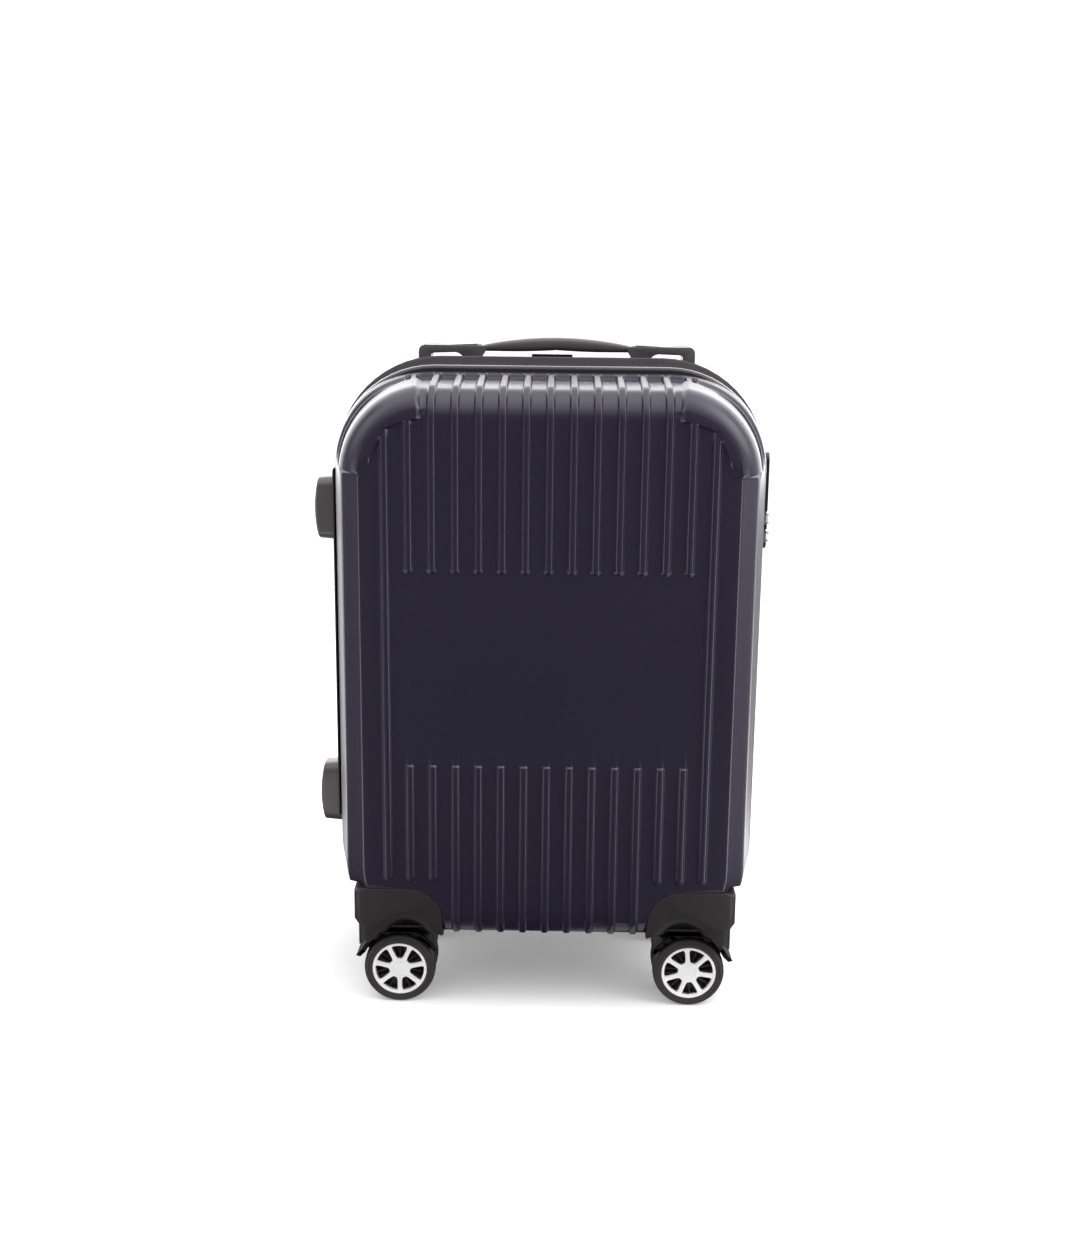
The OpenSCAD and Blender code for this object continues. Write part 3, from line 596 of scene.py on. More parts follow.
def shellStops(depth, beadsOn):
    # the section as (inset, depth) from the face's edge to the rim, and the roof's own bend
    s = shellForm
    bends = []
    for key in ("roundings", "topRoundings"):
        path = filletPath([*s["path"], (0, depth)], s[key], 6)
        bends.append([*path[1:8], *[path[7].lerp(path[8], k / 5) for k in range(1, 5)], *path[8:-1]])
    sideBend, roofBend = bends
    back = roofBend[-1].y
    places = [back + 4 * k for k in range(1, int((46 - back) / 4) + 1)]
    places += [46.2, 47, *[b + k * 0.75 for b in s["beads"] for k in range(-2, 3)]]
    places += s["grooveRows"] if beadsOn else []
    places += [65 + 6 * k for k in range(int((depth - 65) / 6))]
    wall = []
    for t in sorted(places):
        if back + 0.5 < t < depth - 0.5 and (not wall or t - wall[-1].y > 0.5):
            wall.append(Vector((s["path"][2][0] * (depth - t) / (depth - s["path"][2][1]), t)))
    return [*sideBend, *wall, Vector((0, depth))], [Vector(s["path"][0]), *roofBend]


def cutFace(bm, bottom, top, fineStarts):
    # rows close together where ribs end, columns on the flanks of each rib, lines beside the guard's edge
    s = shellForm
    rows = {start + k * 0.9 for start in fineStarts for k in range(-1, 6)}
    rows |= {bottom + k * 11 for k in range(1, int((top - bottom) / 11))}
    columns = {side * w for side in (-1, 1) for w in s["columns"]}
    columns |= {i * s["ribPitch"] + side * w for i in range(-s["ribSide"] - 1, s["ribSide"] + 2)
        for side in (-1, 1) for w in s["flank"]}
    for places, gap, out in ((rows | set(s["rows"]), 0.6, (0, 0, 1)), (columns, 0.35, (1, 0, 0))):
        last = -math.inf
        for at in sorted(places):
            if at - last > gap:
                cutAcross(bm, Vector(out) * at, out)
                last = at
    for side in (-1, 1):
        for a, b in zip(s["guardEdge"][1:-2], s["guardEdge"][2:-1]):
            across = Vector((b[1] - a[1], a[0] - b[0])).normalized()
            x0, x1 = min(a[0], b[0]) - 2, max(a[0], b[0]) + 2
            z0, z1 = min(a[1], b[1]) - 2, max(a[1], b[1]) + 2
            for shift in (-0.9, 0.9):
                spot = Vector(a) + across * shift
                near = facesNear(bm, lambda c: side * c.x > 0 and x0 < -abs(c.x) < x1 and z0 < c.z < z1)
                cutAcross(bm, (-side * spot.x, 0, spot.y), (-side * across.x, 0, across.y), near, 1e-3)


def nearestRib(x):
    s = shellForm
    rib = min(max(round(x / s["ribPitch"]), -s["ribSide"]), s["ribSide"])
    return rib, x - rib * s["ribPitch"]


def faceHeight(x, z, t, ribs):  # ribs and edge ridges
    rib, across = nearestRib(x)
    bars = [capsule(across, z, start, end) for start, end in ribs(rib)]
    if t < 2:
        bars.append(capsule(abs(x) - shellForm["ridge"], z, *shellForm["ridgeEnds"]))
    return shellForm["rise"] * max(bars)


def wallHeight(x, t, way, inset, beadsOn):  # rib ends below, grooves over the roof, a side groove and beads
    s = shellForm
    rib, across = nearestRib(x)
    height = 0.0
    if way.y < -0.8 and abs(rib) < s["ribSide"] - 1:
        height = s["rise"] * capsule(across, t, -99, s["underEnd"])
    if way.y > 0.8:
        bend = s["path"][2][1]
        along = min(max(t - bend, 0) / (s["grooveEnd"][1] - bend), 1)
        floor, top = [a + (b - a) * along for a, b in (s["roofGroove"], s["roofCrest"])]
        front = smoothStep(t / bend)
        sink = front * min(inset - floor, 0) * smoothStep((s["guardEnd"] + 2 - abs(x)) / 2)
        sink *= smoothStep((s["grooveEnd"][1] - t) / (s["grooveEnd"][1] - s["grooveEnd"][0]))
        lift = s["rise"] + front * (min(inset - top, s["rise"]) - s["rise"])
        height = sink + (max(lift, 0) - sink) * capsule(across, t, -99, 999)
    if beadsOn:
        place, width, deep = s["sideGroove"]
        height -= deep * way.x ** 2 * smoothStep(1 - abs(t - place) / width)
        if abs(x) > s["guardEnd"] and way.y > 0.05:
            fade = smoothStep((abs(x) - s["guardEnd"]) / 2) * smoothStep((way.y - 0.05) / 0.15)
            height += s["beadHeight"] * fade * sum(smoothStep(1 - abs(t - bead) / 1.5) for bead in s["beads"])
    return height


def cutPockets(bm, faceY, sign):  # the room for each wheel housing, then the wall turned in over its top
    gap, radius, seam, cover = shellForm["pocket"]
    x, z, covered = housingInner - gap, housingTop + gap, housingOuter - cover
    for side in (-1, 1):
        planes = [((side * x, 0, 0), (side, 0, 0)), ((0, 0, z), (0, 0, -1))]
        for way in [ray(angle) for angle in range(100, 180, 10)]:
            spot = Vector((x + radius, z - radius)) + way * radius
            planes.append(((side * spot.x, 0, spot.y), (-side * way.x, 0, -way.y)))
        planes.append(((0, faceY + sign * seam, 0), (0, -sign, 0)))
        cutAway(bm, planes, lambda c: side * c.x > x - 20 and c.z < z + 20)
    for vert in bm.verts:
        if abs(vert.co.z - z) < 0.1 and abs(vert.co.x) > covered:
            vert.co.x = math.copysign(covered, vert.co.x)


def makeShell(name, body, faceY, sign, depth, ribs, fineStarts, beadsOn):
    s = shellForm
    stops, topPath = shellStops(depth, beadsOn)
    guardPath = filletPath(s["guard"], [s["guardRounding"]], 10)
    lengths = list(itertools.accumulate((b - a).length for a, b in zip([topPath[0], *stops], stops)))
    whole = max(length for length, stop in zip(lengths, stops) if stop.y <= 45)

    bm = bmesh.new()
    edgeInset = stops[0].x
    under = s["underInset"] + edgeInset - s["path"][1][0]
    half, bottom, top = rimHalf - edgeInset, rimBottom + under, rimTop - edgeInset
    verts = [bm.verts.new((x, faceY, z)) for x, z in rectangle(-half, bottom, half, top)]
    bm.faces.new(verts)
    roundVerts(bm, verts, [lowRadius - edgeInset] * 2 + [rimRadius - edgeInset] * 2, 14)
    cutFace(bm, bottom, top, fineStarts)

    # the face's own places, then the walls ring after ring to the rim
    for vert in bm.verts:
        core, way, radius = wayOut(vert.co.x, vert.co.z)
        inset = radius - (Vector((vert.co.x, vert.co.z)) - core).length
        soften = smoothStep((way.y - 0.25) / 0.6) if vert.co.z > rimTop - 36 or way.x else 0
        vert.co.y = faceY + sign * depthAt(topPath, inset) * soften
    params = dict.fromkeys(bm.verts)
    ring = [e for e in bm.edges if e.is_boundary]
    for index, stop in enumerate(stops):
        if index:
            made = bmesh.ops.extrude_edge_only(bm, edges=ring)["geom"]
            ring = [e for e in only(bmesh.types.BMEdge, made) if e.is_boundary]
        share = min(stop.y / s["underDepth"], 1)
        for vert in {v for e in ring for v in e.verts}:
            core, way, radius = wayOut(vert.co.x, vert.co.z)
            roof = max(depthAt(topPath, stop.x), stop.y)
            deep = stop.y + (roof - stop.y) * smoothStep((way.y - 0.25) / 0.6)
            spread = s["flare"][0] * smoothStep(deep / 13) + s["flare"][1] * max(deep - 13, 0) / 60
            inset = stop.x - spread * smoothStep(abs(way.x) / 0.8)
            if way.y < 0:
                inset += (under * (1 - share) ** 2 - stop.x) * way.y ** 2
            place = core + way * (radius - inset)
            vert.co = (place.x, faceY + sign * deep, place.y)
            params[vert] = (index, core, way, inset)
    mendNormals(bm)
    if sign * sum(f.normal.y for f in bm.faces if abs(f.calc_center_median().y - faceY) < 1) > 0:
        flip(bm)
    bm.normal_update()

    # ribs, ridges, grooves and beads, and the corner guards over them
    moves = []
    for vert in bm.verts:
        x, y, z = vert.co
        t = sign * (y - faceY)
        if params[vert] is None:
            height = faceHeight(x, z, t, ribs)
            inside = smoothStep((guardDistance(x, z) + 0.9) / 1.8)
            target = Vector((x, faceY - sign * s["rise"], z))
        else:
            index, core, way, inset = params[vert]
            height = faceHeight(x, z, t, ribs) if t < 4 else wallHeight(x, t, way, inset, beadsOn)
            turn = math.degrees(math.atan2(way.y, abs(way.x)))
            inside = smoothStep((turn - s["guardTurn"][0]) / s["guardSoft"][0]) * (stops[index].y <= 45)
            inside *= smoothStep((s["guardTurn"][1] - turn) / s["guardSoft"][1])
            reach = alongPath(guardPath, lengths[index] / whole)
            place = core + way * (rimRadius - reach.x)
            target = Vector((place.x, faceY + sign * reach.y, place.y))
        moves.append((vert, (vert.co + vert.normal * height).lerp(target, inside)))
    for vert, spot in moves:
        vert.co = spot

    cutPockets(bm, faceY, sign)
    if not beadsOn:  # the trolley's cup
        beside, before, foot = s["cup"]
        cup = low("trolley_bezel")
        planes = [((cup.x + beside, 0, 0), (1, 0, 0)), ((-cup.x - beside, 0, 0), (-1, 0, 0)),
            ((0, 0, foot), (0, 0, 1)), ((0, cup.y + before, 0), (0, 1, 0))]
        cutAway(bm, planes, lambda c: c.z > foot - 24)
    piece = finish(name + "_skin", bm, body, "shell", "shell", [name], 40)
    wall = piece.modifiers.new("wall", "SOLIDIFY")
    wall.thickness = s["wall"] * mm
    wall.offset = -1
    wall.use_even_offset = False


def cutAway(bm, planes, nearby):
    near = facesNear(bm, nearby)
    for spot, out in planes:
        near = only(bmesh.types.BMFace, cutAcross(bm, spot, out, near))
    inside = [f for f in near if all(
        (f.calc_center_median() - Vector(spot)).dot(Vector(out)) > 0 for spot, out in planes)]
    bmesh.ops.delete(bm, geom=inside, context="FACES")


def frontRibs(i):
    lowest = 116 if abs(i) > 4 else -99
    return [(lowest, 217), (372, 492.5 if abs(i) == 6 else 999)]


def rearRibs(i):
    return [(116 if abs(i) > 4 else -99, low("trolley_bezel").z - 4)]


makeShell("front_shell", "lid", frontFace, 1, 73, frontRibs, (211.5, 372.3, 116.3), True)
makeShell("rear_shell", "case", rearFace, -1, 93, rearRibs, (low("trolley_bezel").z - 9, 116.3), False)
print("shells made")


# ---- zip band

frontOutline = (bandHalf, bandBottom, frontBandTop - 1, 83)
rearOutline = (bandHalf, bandBottom, rearBandTop, 86)


def makeBand():
    both = (frontOutline, rearOutline)
    fold = [(-8.5, frontRim + 0.2), (-2.8, frontRim + 0.2), (-1.2, frontRim + 0.7, 0, 1.8),
        (-0.4, frontRim + 1.7, 0, 4), (0, frontRim + 3.2, 0, 6), (0, split - 4.4), (-0.5, split - 3.4),
        (-1.5, split - 3.1), (-1.7, split - 1.8), (-2.6, split - 1.3), (-3.2, split - 0.35),
        (-8.5, split - 0.35)]
    finish("front_tape", ringSweep(fold, both), "lid", "vinyl", "zip_tape", ["front_zip_tape"], 50)
    fold = [(-8.5, split + 0.35), (-3.2, split + 0.35), (-2.6, split + 1.3), (-1.7, split + 1.8, 0.05),
        (-1.4, split + 3.2, 0.3), (-1.2, split + 4.4, 0.8), (-0.3, split + 5.6, 1), (0, split + 7.5, 1),
        (0, rearRim - 3.5, 1), (-0.8, rearRim - 1.2, 1), (-2.6, rearRim - 0.3, 1), (-8.5, rearRim - 0.3, 0.4)]
    finish("rear_tape", ringSweep(fold, both), "case", "tape", "zip_tape", ["rear_zip_tape"], 50)
    piping = arc((-4.0, rearRim + 0.4), 1.7, range(0, 360, 36))
    finish("rear_piping", ringSweep(piping, both, 20), "case", "vinyl", "zip_tape")
    hinge = (low("hinge_strip").z - 6, high("hinge_strip").z + 6)
    for name, body, side in (("front_teeth", "lid", -1), ("rear_teeth", "case", 1)):
        bm = bmesh.new()
        for k, (spot, run) in enumerate(ringPoints(frontOutline, -2.6, 1.35)):
            if k % 2 == (side > 0) or (spot.x < 0 and hinge[0] < spot.y < hinge[1]):
                continue
            tooth = bmesh.ops.create_cube(bm, size=1)["verts"]
            bmesh.ops.scale(bm, vec=(1.05, 2.7, 1.5), verts=tooth)
            turn = Matrix(((run.x, 0, run.y), (0, 1, 0), (-run.y, 0, run.x))).transposed()
            bmesh.ops.rotate(bm, cent=(0, 0, 0), matrix=turn, verts=tooth)
            bmesh.ops.translate(bm, vec=(spot.x, split + side * 1.55, spot.y), verts=tooth)
        finish(name, bm, body, "teeth", "zip_tape")


def makeHinge():  # the fabric strip, with a row of stitches along each edge
    lo, hi = low("hinge_strip"), high("hinge_strip")
    bm = sidePlate(rectangle(lo.y, lo.z, hi.y, hi.z), lo.x + 0.5, 1.1, [4] * 4, 4, 0.3)
    finish("hinge_fabric", bm, "hinge_strip", "tape", "zip_tape", ["hinge_strip"])
    bm = bmesh.new()
    for y in (lo.y + 2.5, hi.y - 2.5):
        for k in range(int((hi.z - lo.z - 10) / 4)):
            block(bm, (lo.x + 0.2, y - 0.3, lo.z + 6 + k * 4), (lo.x + 0.8, y + 0.3, lo.z + 8.6 + k * 4))
    finish("hinge_stitches", bm, "hinge_strip", "web", "zip_tape")


makeBand()
makeHinge()
print("band made")


# ---- casters, each made about its kingpin with +x outward and +y towards its face

def toCorner(bm, corner):
    sx, sy = cornerSigns[corner]
    for vert in bm.verts:
        vert.co = (sx * (kingpinX + vert.co.x), sy * (kingpinY + vert.co.y), vert.co.z)
    if sx * sy < 0:
        flip(bm)
    return bm


def wheelFace(bm, outer):  # the wheel is made with its outer face to +y; the inner one is its mirror image
    if not outer:
        stretch(bm, (1, -1, 1))
        flip(bm)
    return bm


wheelForm = {"tyre": 30, "inner": 5.2, "outer": 20.9, "spokes": 7}


def aboutAxle(profile, roundings=None, steps=48):
    return lathe(profile, roundings, steps, (wheelX, 0, axleZ), (0, 1, 0))


def allRound(bm, pattern, phase, count):  # copies of one piece all round the axle
    for k in range(count):
        copy = pattern.copy()
        rotate(copy, Matrix.Rotation(-math.radians(phase + 360 * k / count), 3, "Y"))
        move(copy, (wheelX, 0, axleZ))
        join(bm, copy)
    pattern.free()


def makeTyre(phase):
    a, b, r = wheelForm["inner"], wheelForm["outer"], wheelForm["tyre"]
    return aboutAxle([(22.8, a + 0.5), (26.4, a), (28.9, a + 0.7), (r, a + 3), (r, b - 3), (28.9, b - 0.7),
        (26.6, b - 0.05), (26.2, b - 0.5), (25.8, b - 0.1), (22.8, b - 0.3)], [0, 1, 2, 2, 2, 2], 56)


def makeHub(phase):
    b = wheelForm["outer"] + 0.05
    bm = aboutAxle([(20.4, b - 5), (20.4, b - 0.8), (20.9, b - 0.1), (22.4, b - 0.1), (22.9, b - 0.6),
        (22.9, b - 6), (22, b - 6)], [0, 0.4, 0.4, 0.4, 0.4], 56)
    join(bm, aboutAxle([(0, b - 4), (8.4, b - 4), (9.2, b - 1.4), (8.2, b - 0.5), (6.4, b - 0.3),
        (6.0, b - 0.7), (5.6, b - 0.3), (0, b - 0.1)], [0, 0, 0.6, 0.5], 40))
    flank = [(6.5, 3.0), (10.8, 1.8), (18.6, 1.8), (21.2, 3.4)]
    outline = [(x, -z) for x, z in flank] + flank[::-1]
    allRound(bm, plate(outline, b - 3.4, 2.8, [0, 1, 1, 0, 0, 1, 1, 0], 2, 0.4), phase, wheelForm["spokes"])
    return bm


def makeCore(phase):
    a, b = wheelForm["inner"], wheelForm["outer"]
    bm = aboutAxle([(2.9, b - 9.5), (20.4, b - 9.5), (20.4, b - 3), (23.4, b - 5.5), (23.4, a + 0.6),
        (21.5, a + 0.3), (20.4, a + 1.5), (7.5, a + 1.5), (6.5, a + 0.2), (2.9, a + 0.2)])
    count = 3 * wheelForm["spokes"]
    allRound(bm, plate(rectangle(8, -0.45, 20.6, 0.45), b - 10, 5.5), phase + 180 / count, count)
    join(bm, aboutAxle([(8, b - 10), (9.6, b - 10), (9.6, b - 4.5), (8, b - 4.5)], steps=32))
    return bm


forkForm = {"inner": 32.2, "outer": 35, "flange": 36.2, "half": 21, "tail": 18, "nose": 150,
    "limit": 63.3, "web": 4}


def makeFork():
    f = forkForm
    bm = bmesh.new()
    half = f["half"]
    loop = [(f["inner"], -half), (f["flange"], -half), (f["flange"], -half + 1.6), (f["outer"], -half + 3),
        (f["outer"], half - 3), (f["flange"], half - 1.6), (f["flange"], half), (f["inner"], half)]
    start = math.radians(f["tail"])
    verts = [bm.verts.new((r * math.cos(start), y, r * math.sin(start))) for r, y in loop]
    for pair in zip(verts, verts[1:] + verts[:1]):
        bm.edges.new(pair)
    roundVerts(bm, verts, [0.5, 0.5, 0.5, 1.2, 1.2, 0.5, 0.5, 0.5], 2)
    bm.faces.new([v for v in bm.verts])
    sweep = math.radians(f["nose"] - f["tail"])
    bmesh.ops.delete(bm, geom=bm.faces[:], context="FACES_ONLY")
    bmesh.ops.spin(bm, geom=bm.verts[:] + bm.edges[:], cent=(0, 0, 0), axis=(0, -1, 0), angle=sweep, steps=30)
    bmesh.ops.holes_fill(bm, edges=[e for e in bm.edges if e.is_boundary], sides=0)
    mendNormals(bm)
    for vert in bm.verts:
        angle = math.degrees(math.atan2(vert.co.z, vert.co.x))
        flare = smoothStep((f["tail"] + 9 - angle) / 9) * 2.2
        length = math.hypot(vert.co.x, vert.co.z)
        vert.co.x *= (length + flare) / length
        vert.co.z *= (length + flare) / length
    move(bm, (wheelX, 0, axleZ))
    for vert in bm.verts:
        vert.co.z = min(vert.co.z, f["limit"])
    outline = [(wheelX - 8, axleZ - 5), (wheelX + 8, axleZ - 5), (wheelX + 12, axleZ + 3),
        *arc((wheelX, axleZ), 32.6, range(22, 126, 8)), (wheelX - 12, axleZ + 6)]
    join(bm, plate(outline, -f["web"], 2 * f["web"], [5, 5], 4, 0.6))
    top = high("fork_front_left").z
    join(bm, lathe([(4.05, 52), (10, 52), (11.9, 58), (11.9, top - 1.4), (11.2, top - 0.6),
        (4.05, top - 0.6)], [0, 0, 2, 0.6, 0.3], 40))
    join(bm, aboutAxle([(2.6, -5.1), (6.5, -5.1), (6.5, 5.1), (2.6, 5.1)], steps=32))
    return bm


# what makes each part of a wheel, its name, paint and slot, and the node that it stands for
wheelParts = ((makeTyre, "tyre_ring", "tyre", "tyre", ["tyre"]), (makeHub, "spokes", "hub", "hub", ["hub"]),
    (makeCore, "core", "core", "hub", []))


def makeCasters():
    for corner, (sx, sy) in cornerSigns.items():
        for which, part in itertools.product(("outer", "inner"), wheelParts):
            make, name, paintName, slotName, nodes = part
            bm = toCorner(wheelFace(make(-90 if sx < 0 else 95), which == "outer"), corner)
            finish(f"{which}_{name}_{corner}", bm, f"{which}_wheel_{corner}", paintName, slotName,
                [f"{which}_{node}_{corner}" for node in nodes])
        hood = toCorner(makeFork(), corner)
        finish(f"hood_{corner}", hood, f"caster_{corner}", "fork", "trim", [f"fork_{corner}"])
        repaint(f"kingpin_{corner}", "steel")
        repaint(f"axle_{corner}", "steel")


makeCasters()
print("casters made")


# ---- wheel housings

housingForm = {"x0": housingInner - kingpinX, "x1": housingOuter - kingpinX, "skirt": 3.5, "step": 78,
    "face": 38, "back": -31, "corner": 28, "edge": 6, "seam": 1.2, "arch": (6.7, 61.5, 25.5), "roll": 8,
    "ceiling": 67.5, "rows": (0, 7, 14, 22, 31, 41, 52, 62.9)}


def makeHousing():
    h = housingForm
    ax, az, radius = h["arch"]
    x0, x1, top, seam, edge = h["x0"], h["x1"], housingTop, h["seam"], h["edge"]
    foot = low("housing_front_left").z
    endX = x1 - h["skirt"] - edge
    archLine = [(x0 + seam, 68.5), (ax - radius - 3, 69), (ax - radius + 0.2, 70),
        *arc((ax, az), radius, [155 - 137 * k / 18 for k in range(19)]),
        (ax + radius + 2.5, 63.2), (ax + radius + 6, 60.2), (endX, foot + 5.5)]
    corner = Vector((x0 + h["corner"], top - h["corner"]))
    rim = [archLine[-1], (endX, h["step"] - 2), (x1 - edge, h["step"] + 3.5), (x1 - edge, top - seam - 2),
        (x1 - edge - 2, top - seam), *arc(corner, h["corner"] - seam, range(90, 181, 9)), archLine[0]]
    bm = bmesh.new()
    rimVerts = [bm.verts.new((x, h["face"], z)) for x, z in rim]
    archVerts = [bm.verts.new((x, h["face"], z)) for x, z in archLine[1:-1]]
    bm.faces.new(rimVerts + archVerts)
    archLoop = [rimVerts[-1], *archVerts, rimVerts[0]]
    row, edges = rimVerts, [bm.edges.get(pair) for pair in zip(rimVerts, rimVerts[1:])]
    archEdges = [bm.edges.get(pair) for pair in zip(archLoop, archLoop[1:])]
    last = len(rim) - 1

    # round the edge, then back along the housing's side, top and inner wall
    for step in range(1, 14):
        turn = math.radians(min(step, 6) * 15)
        deeper = h["rows"][max(0, step - 6)]

        def mover(k):
            x, z = rim[k]
            soft = edge if k < 4 else seam
            grow = soft * math.sin(turn)
            if k < 4:
                x += grow
            elif k == 4:
                z += grow
            elif k < last:
                x, z = Vector((x, z)) + (Vector((x, z)) - corner).normalized() * grow
            else:
                x -= grow
                z += (rimBottom + 0.6 - z) * smoothStep(deeper / 7)
            if k == 0:
                z += (foot - z) * math.sin(turn)
            return (x, max(h["face"] - soft * (1 - math.cos(turn)) - deeper, h["back"]), z)
        row, edges = extrudeRow(bm, row, edges, mover)

    # the arch's lip, rolled in over the wheels
    row, edges = archLoop, archEdges
    for step in range(1, 8):
        turn = math.radians(min(step, 6) * 15)

        def curl(k):
            x, z = archLine[k]
            roll = (0.8 if 0 < k < len(archLine) - 1 else 0) + h["roll"] * smoothStep((z - h["ceiling"]) / 8)
            depth = 0.3 + roll * (1 - math.cos(turn)) + 2 * math.sin(turn) + (9 if step == 7 else 0)
            way = (Vector((ax, az - 8)) - Vector((x, z))).normalized()
            x, z = Vector((x, z)) + way * roll * math.sin(turn)
            if step == 7 and z > h["ceiling"]:
                z = h["ceiling"] + 1
            return (x, h["face"] - depth, z)
        row, edges = extrudeRow(bm, row, edges, curl)
    mendNormals(bm)
    if sum(f.normal.y * f.calc_area() for f in bm.faces) < 0:
        flip(bm)

    # the ceiling, the back and side walls, and the boss over the kingpin
    c, back = h["ceiling"], h["back"]
    block(bm, (x0 + 1, back + 0.5, c), (x1 - 2, h["face"] - 17, c + 2.5), 0.4)
    block(bm, (x0 + 0.5, back, rimBottom + 1), (x1 - 4.2, back + 2.5, top - 29), 0.4)
    block(bm, (x1 - 6.5, back, foot + 0.2), (x1 - 4.0, h["face"] - 5, h["step"] + 8), 0.4)
    join(bm, lathe([(4.2, c - 0.2), (10.5, c - 0.2), (10.5, c + 20), (4.2, c + 20)], steps=32))
    # painted shade: vertices deep inside the arch get a shade value that grows with depth behind the face,
    # which darkens them in the arch finish
    shade = bm.verts.layers.float.new("shade")
    for vert in bm.verts:
        x, y, z = vert.co
        if x0 + 4 < x < x1 - 7.5 and z < 90:
            vert[shade] = smoothStep((h["face"] - y - 0.2) / 6)
    return bm


def makeHousings():
    for corner, (sx, sy) in cornerSigns.items():
        bm, body = toCorner(makeHousing(), corner), "lid" if sy < 0 else "case"
        finish(f"wheel_arch_{corner}", bm, body, "arch", "trim", [f"housing_{corner}"], 35)


def makeGussets():  # small webs that close the corner between each housing's side and the band
    inner, y = housingOuter - 4, frontFace + 69.6
    bend = arc((rimHalf - lowRadius, rimBottom + lowRadius), lowRadius - 0.8, range(0, -56, -7))
    outline = [(inner, housingTop + 6), *bend, (inner, bend[-1][1])]
    for name, body, sign in (("front_gussets", "lid", 1), ("rear_gussets", "case", -1)):
        bm = bmesh.new()
        for side in (-1, 1):
            join(bm, plate([(side * x, z) for x, z in outline], sign * y, sign * 1.2, None, 5, 0.2))
        mendNormals(bm)
        finish(name, bm, body, "trim", "trim")


makeHousings()
print("housings made")


# ---- side feet

footForm = {"height": 62, "pad": (15, 28.5), "lean": 3.2, "crown": 1.2, "screw": 16.2}


def makeFeet():
    s = footForm
    lo, hi = low("side_feet"), high("side_feet")
    midY = (lo.y + hi.y) / 2
    deep, tall = s["pad"]
    bm = bmesh.new()
    for z in (lo.z + s["height"] / 2, hi.z - s["height"] / 2):
        base = rectangle(midY - deep - 3, z - s["height"] / 2, midY + deep + 3, z + s["height"] / 2)
        join(bm, sidePlate(base, -rimHalf + 2, -8, [9] * 4, 5, 1.2))
        pad = sidePlate(rectangle(midY - deep, z - tall, midY + deep, z + tall),
            -rimHalf - 2, lo.x + rimHalf + 2, [9] * 4, 6)
        for step in range(1, 8):
            cutAcross(pad, (0, 0, z - tall + tall * step / 4), (0, 0, 1))
        bevelEdges(pad, [e for e in pad.edges if all(abs(v.co.x - lo.x) < 0.1 for v in e.verts)
            and e.calc_face_angle(0) > 0.7], 6, 6)
        for vert in pad.verts:
            away = smoothStep((-rimHalf - 6 - vert.co.x) / 26)
            vert.co.y = midY + (vert.co.y - midY) * (1 - 0.1 * away)
            vert.co.x += s["lean"] * ((vert.co.z - z) / tall) ** 2 * away
            vert.co.x += s["crown"] * ((vert.co.y - midY) / deep) ** 2 * away
            vert.co.z = z + (vert.co.z - z) * (1 - 0.07 * away)
        join(bm, pad)
        for side in (-1, 1):
            join(bm, lathe([(0, 0), (2.6, 0), (2.2, 1.2), (0, 1.5)], [0, 0.3, 0.4], 20,
                (-rimHalf - 5.8, midY + side * s["screw"], z), (-1, 0, 0)))
    finish("bump_feet", bm, "case", "handle", "trim", ["side_feet"], 30)


makeFeet()


# ---- carry handle

def makeBracket(side, node, shift, x0, x1, y0, y1, top):
    # two cheeks that the strap runs between, then the plate and the outer leg inside them
    cheek = [(x1, rimTop - 12), (x1, top), (x0 - 7, top), (x0 - 7.6, top - 2.5),
        (x0 - 3.6, rearBandTop - 1.6), (x1 - 37, rearBandTop - 1.6), (x1 - 33, top - 5.8),
        (x1 - 11.4, top - 6.6), (x1 - 10.2, top - 8), (x1 - 10.2, rimTop - 6)]
    leg = [(x0, top - 5.4), (x1 - 10, top - 6), (x1 - 10, rimTop - 6), (x1 - 0.4, rimTop - 11.6),
        (x1 - 0.4, top - 0.3), (x0, top - 0.3)]
    bm = bmesh.new()
    for back in (y0, y1 - 3.2):
        join(bm, plate(cheek, back, 3.2, [0, 5, 1, 1, 1.5, 2, 3, 2], 4, 0.7))
    join(bm, plate(leg, y0 + 3, y1 - y0 - 6, [0, 2, 0, 0, 4.6, 1], 4))
    cap = [(x0, top - 0.5), (x1 - 12, top - 0.5), (x0, top + 1.2)]
    join(bm, plate(cap, y0 + 3.8, y1 - y0 - 7.6, None, 5, 0.3))
    for vert in bm.verts:
        vert.co.x = side * vert.co.x + shift
    if side < 0:
        flip(bm)
    finish(f"handle_{node}", bm, "case", "handle", "handle", [node], 35)


gripForm = {"under": 3.9, "tip": 5.2, "half": 7.9, "swell": 1.6}


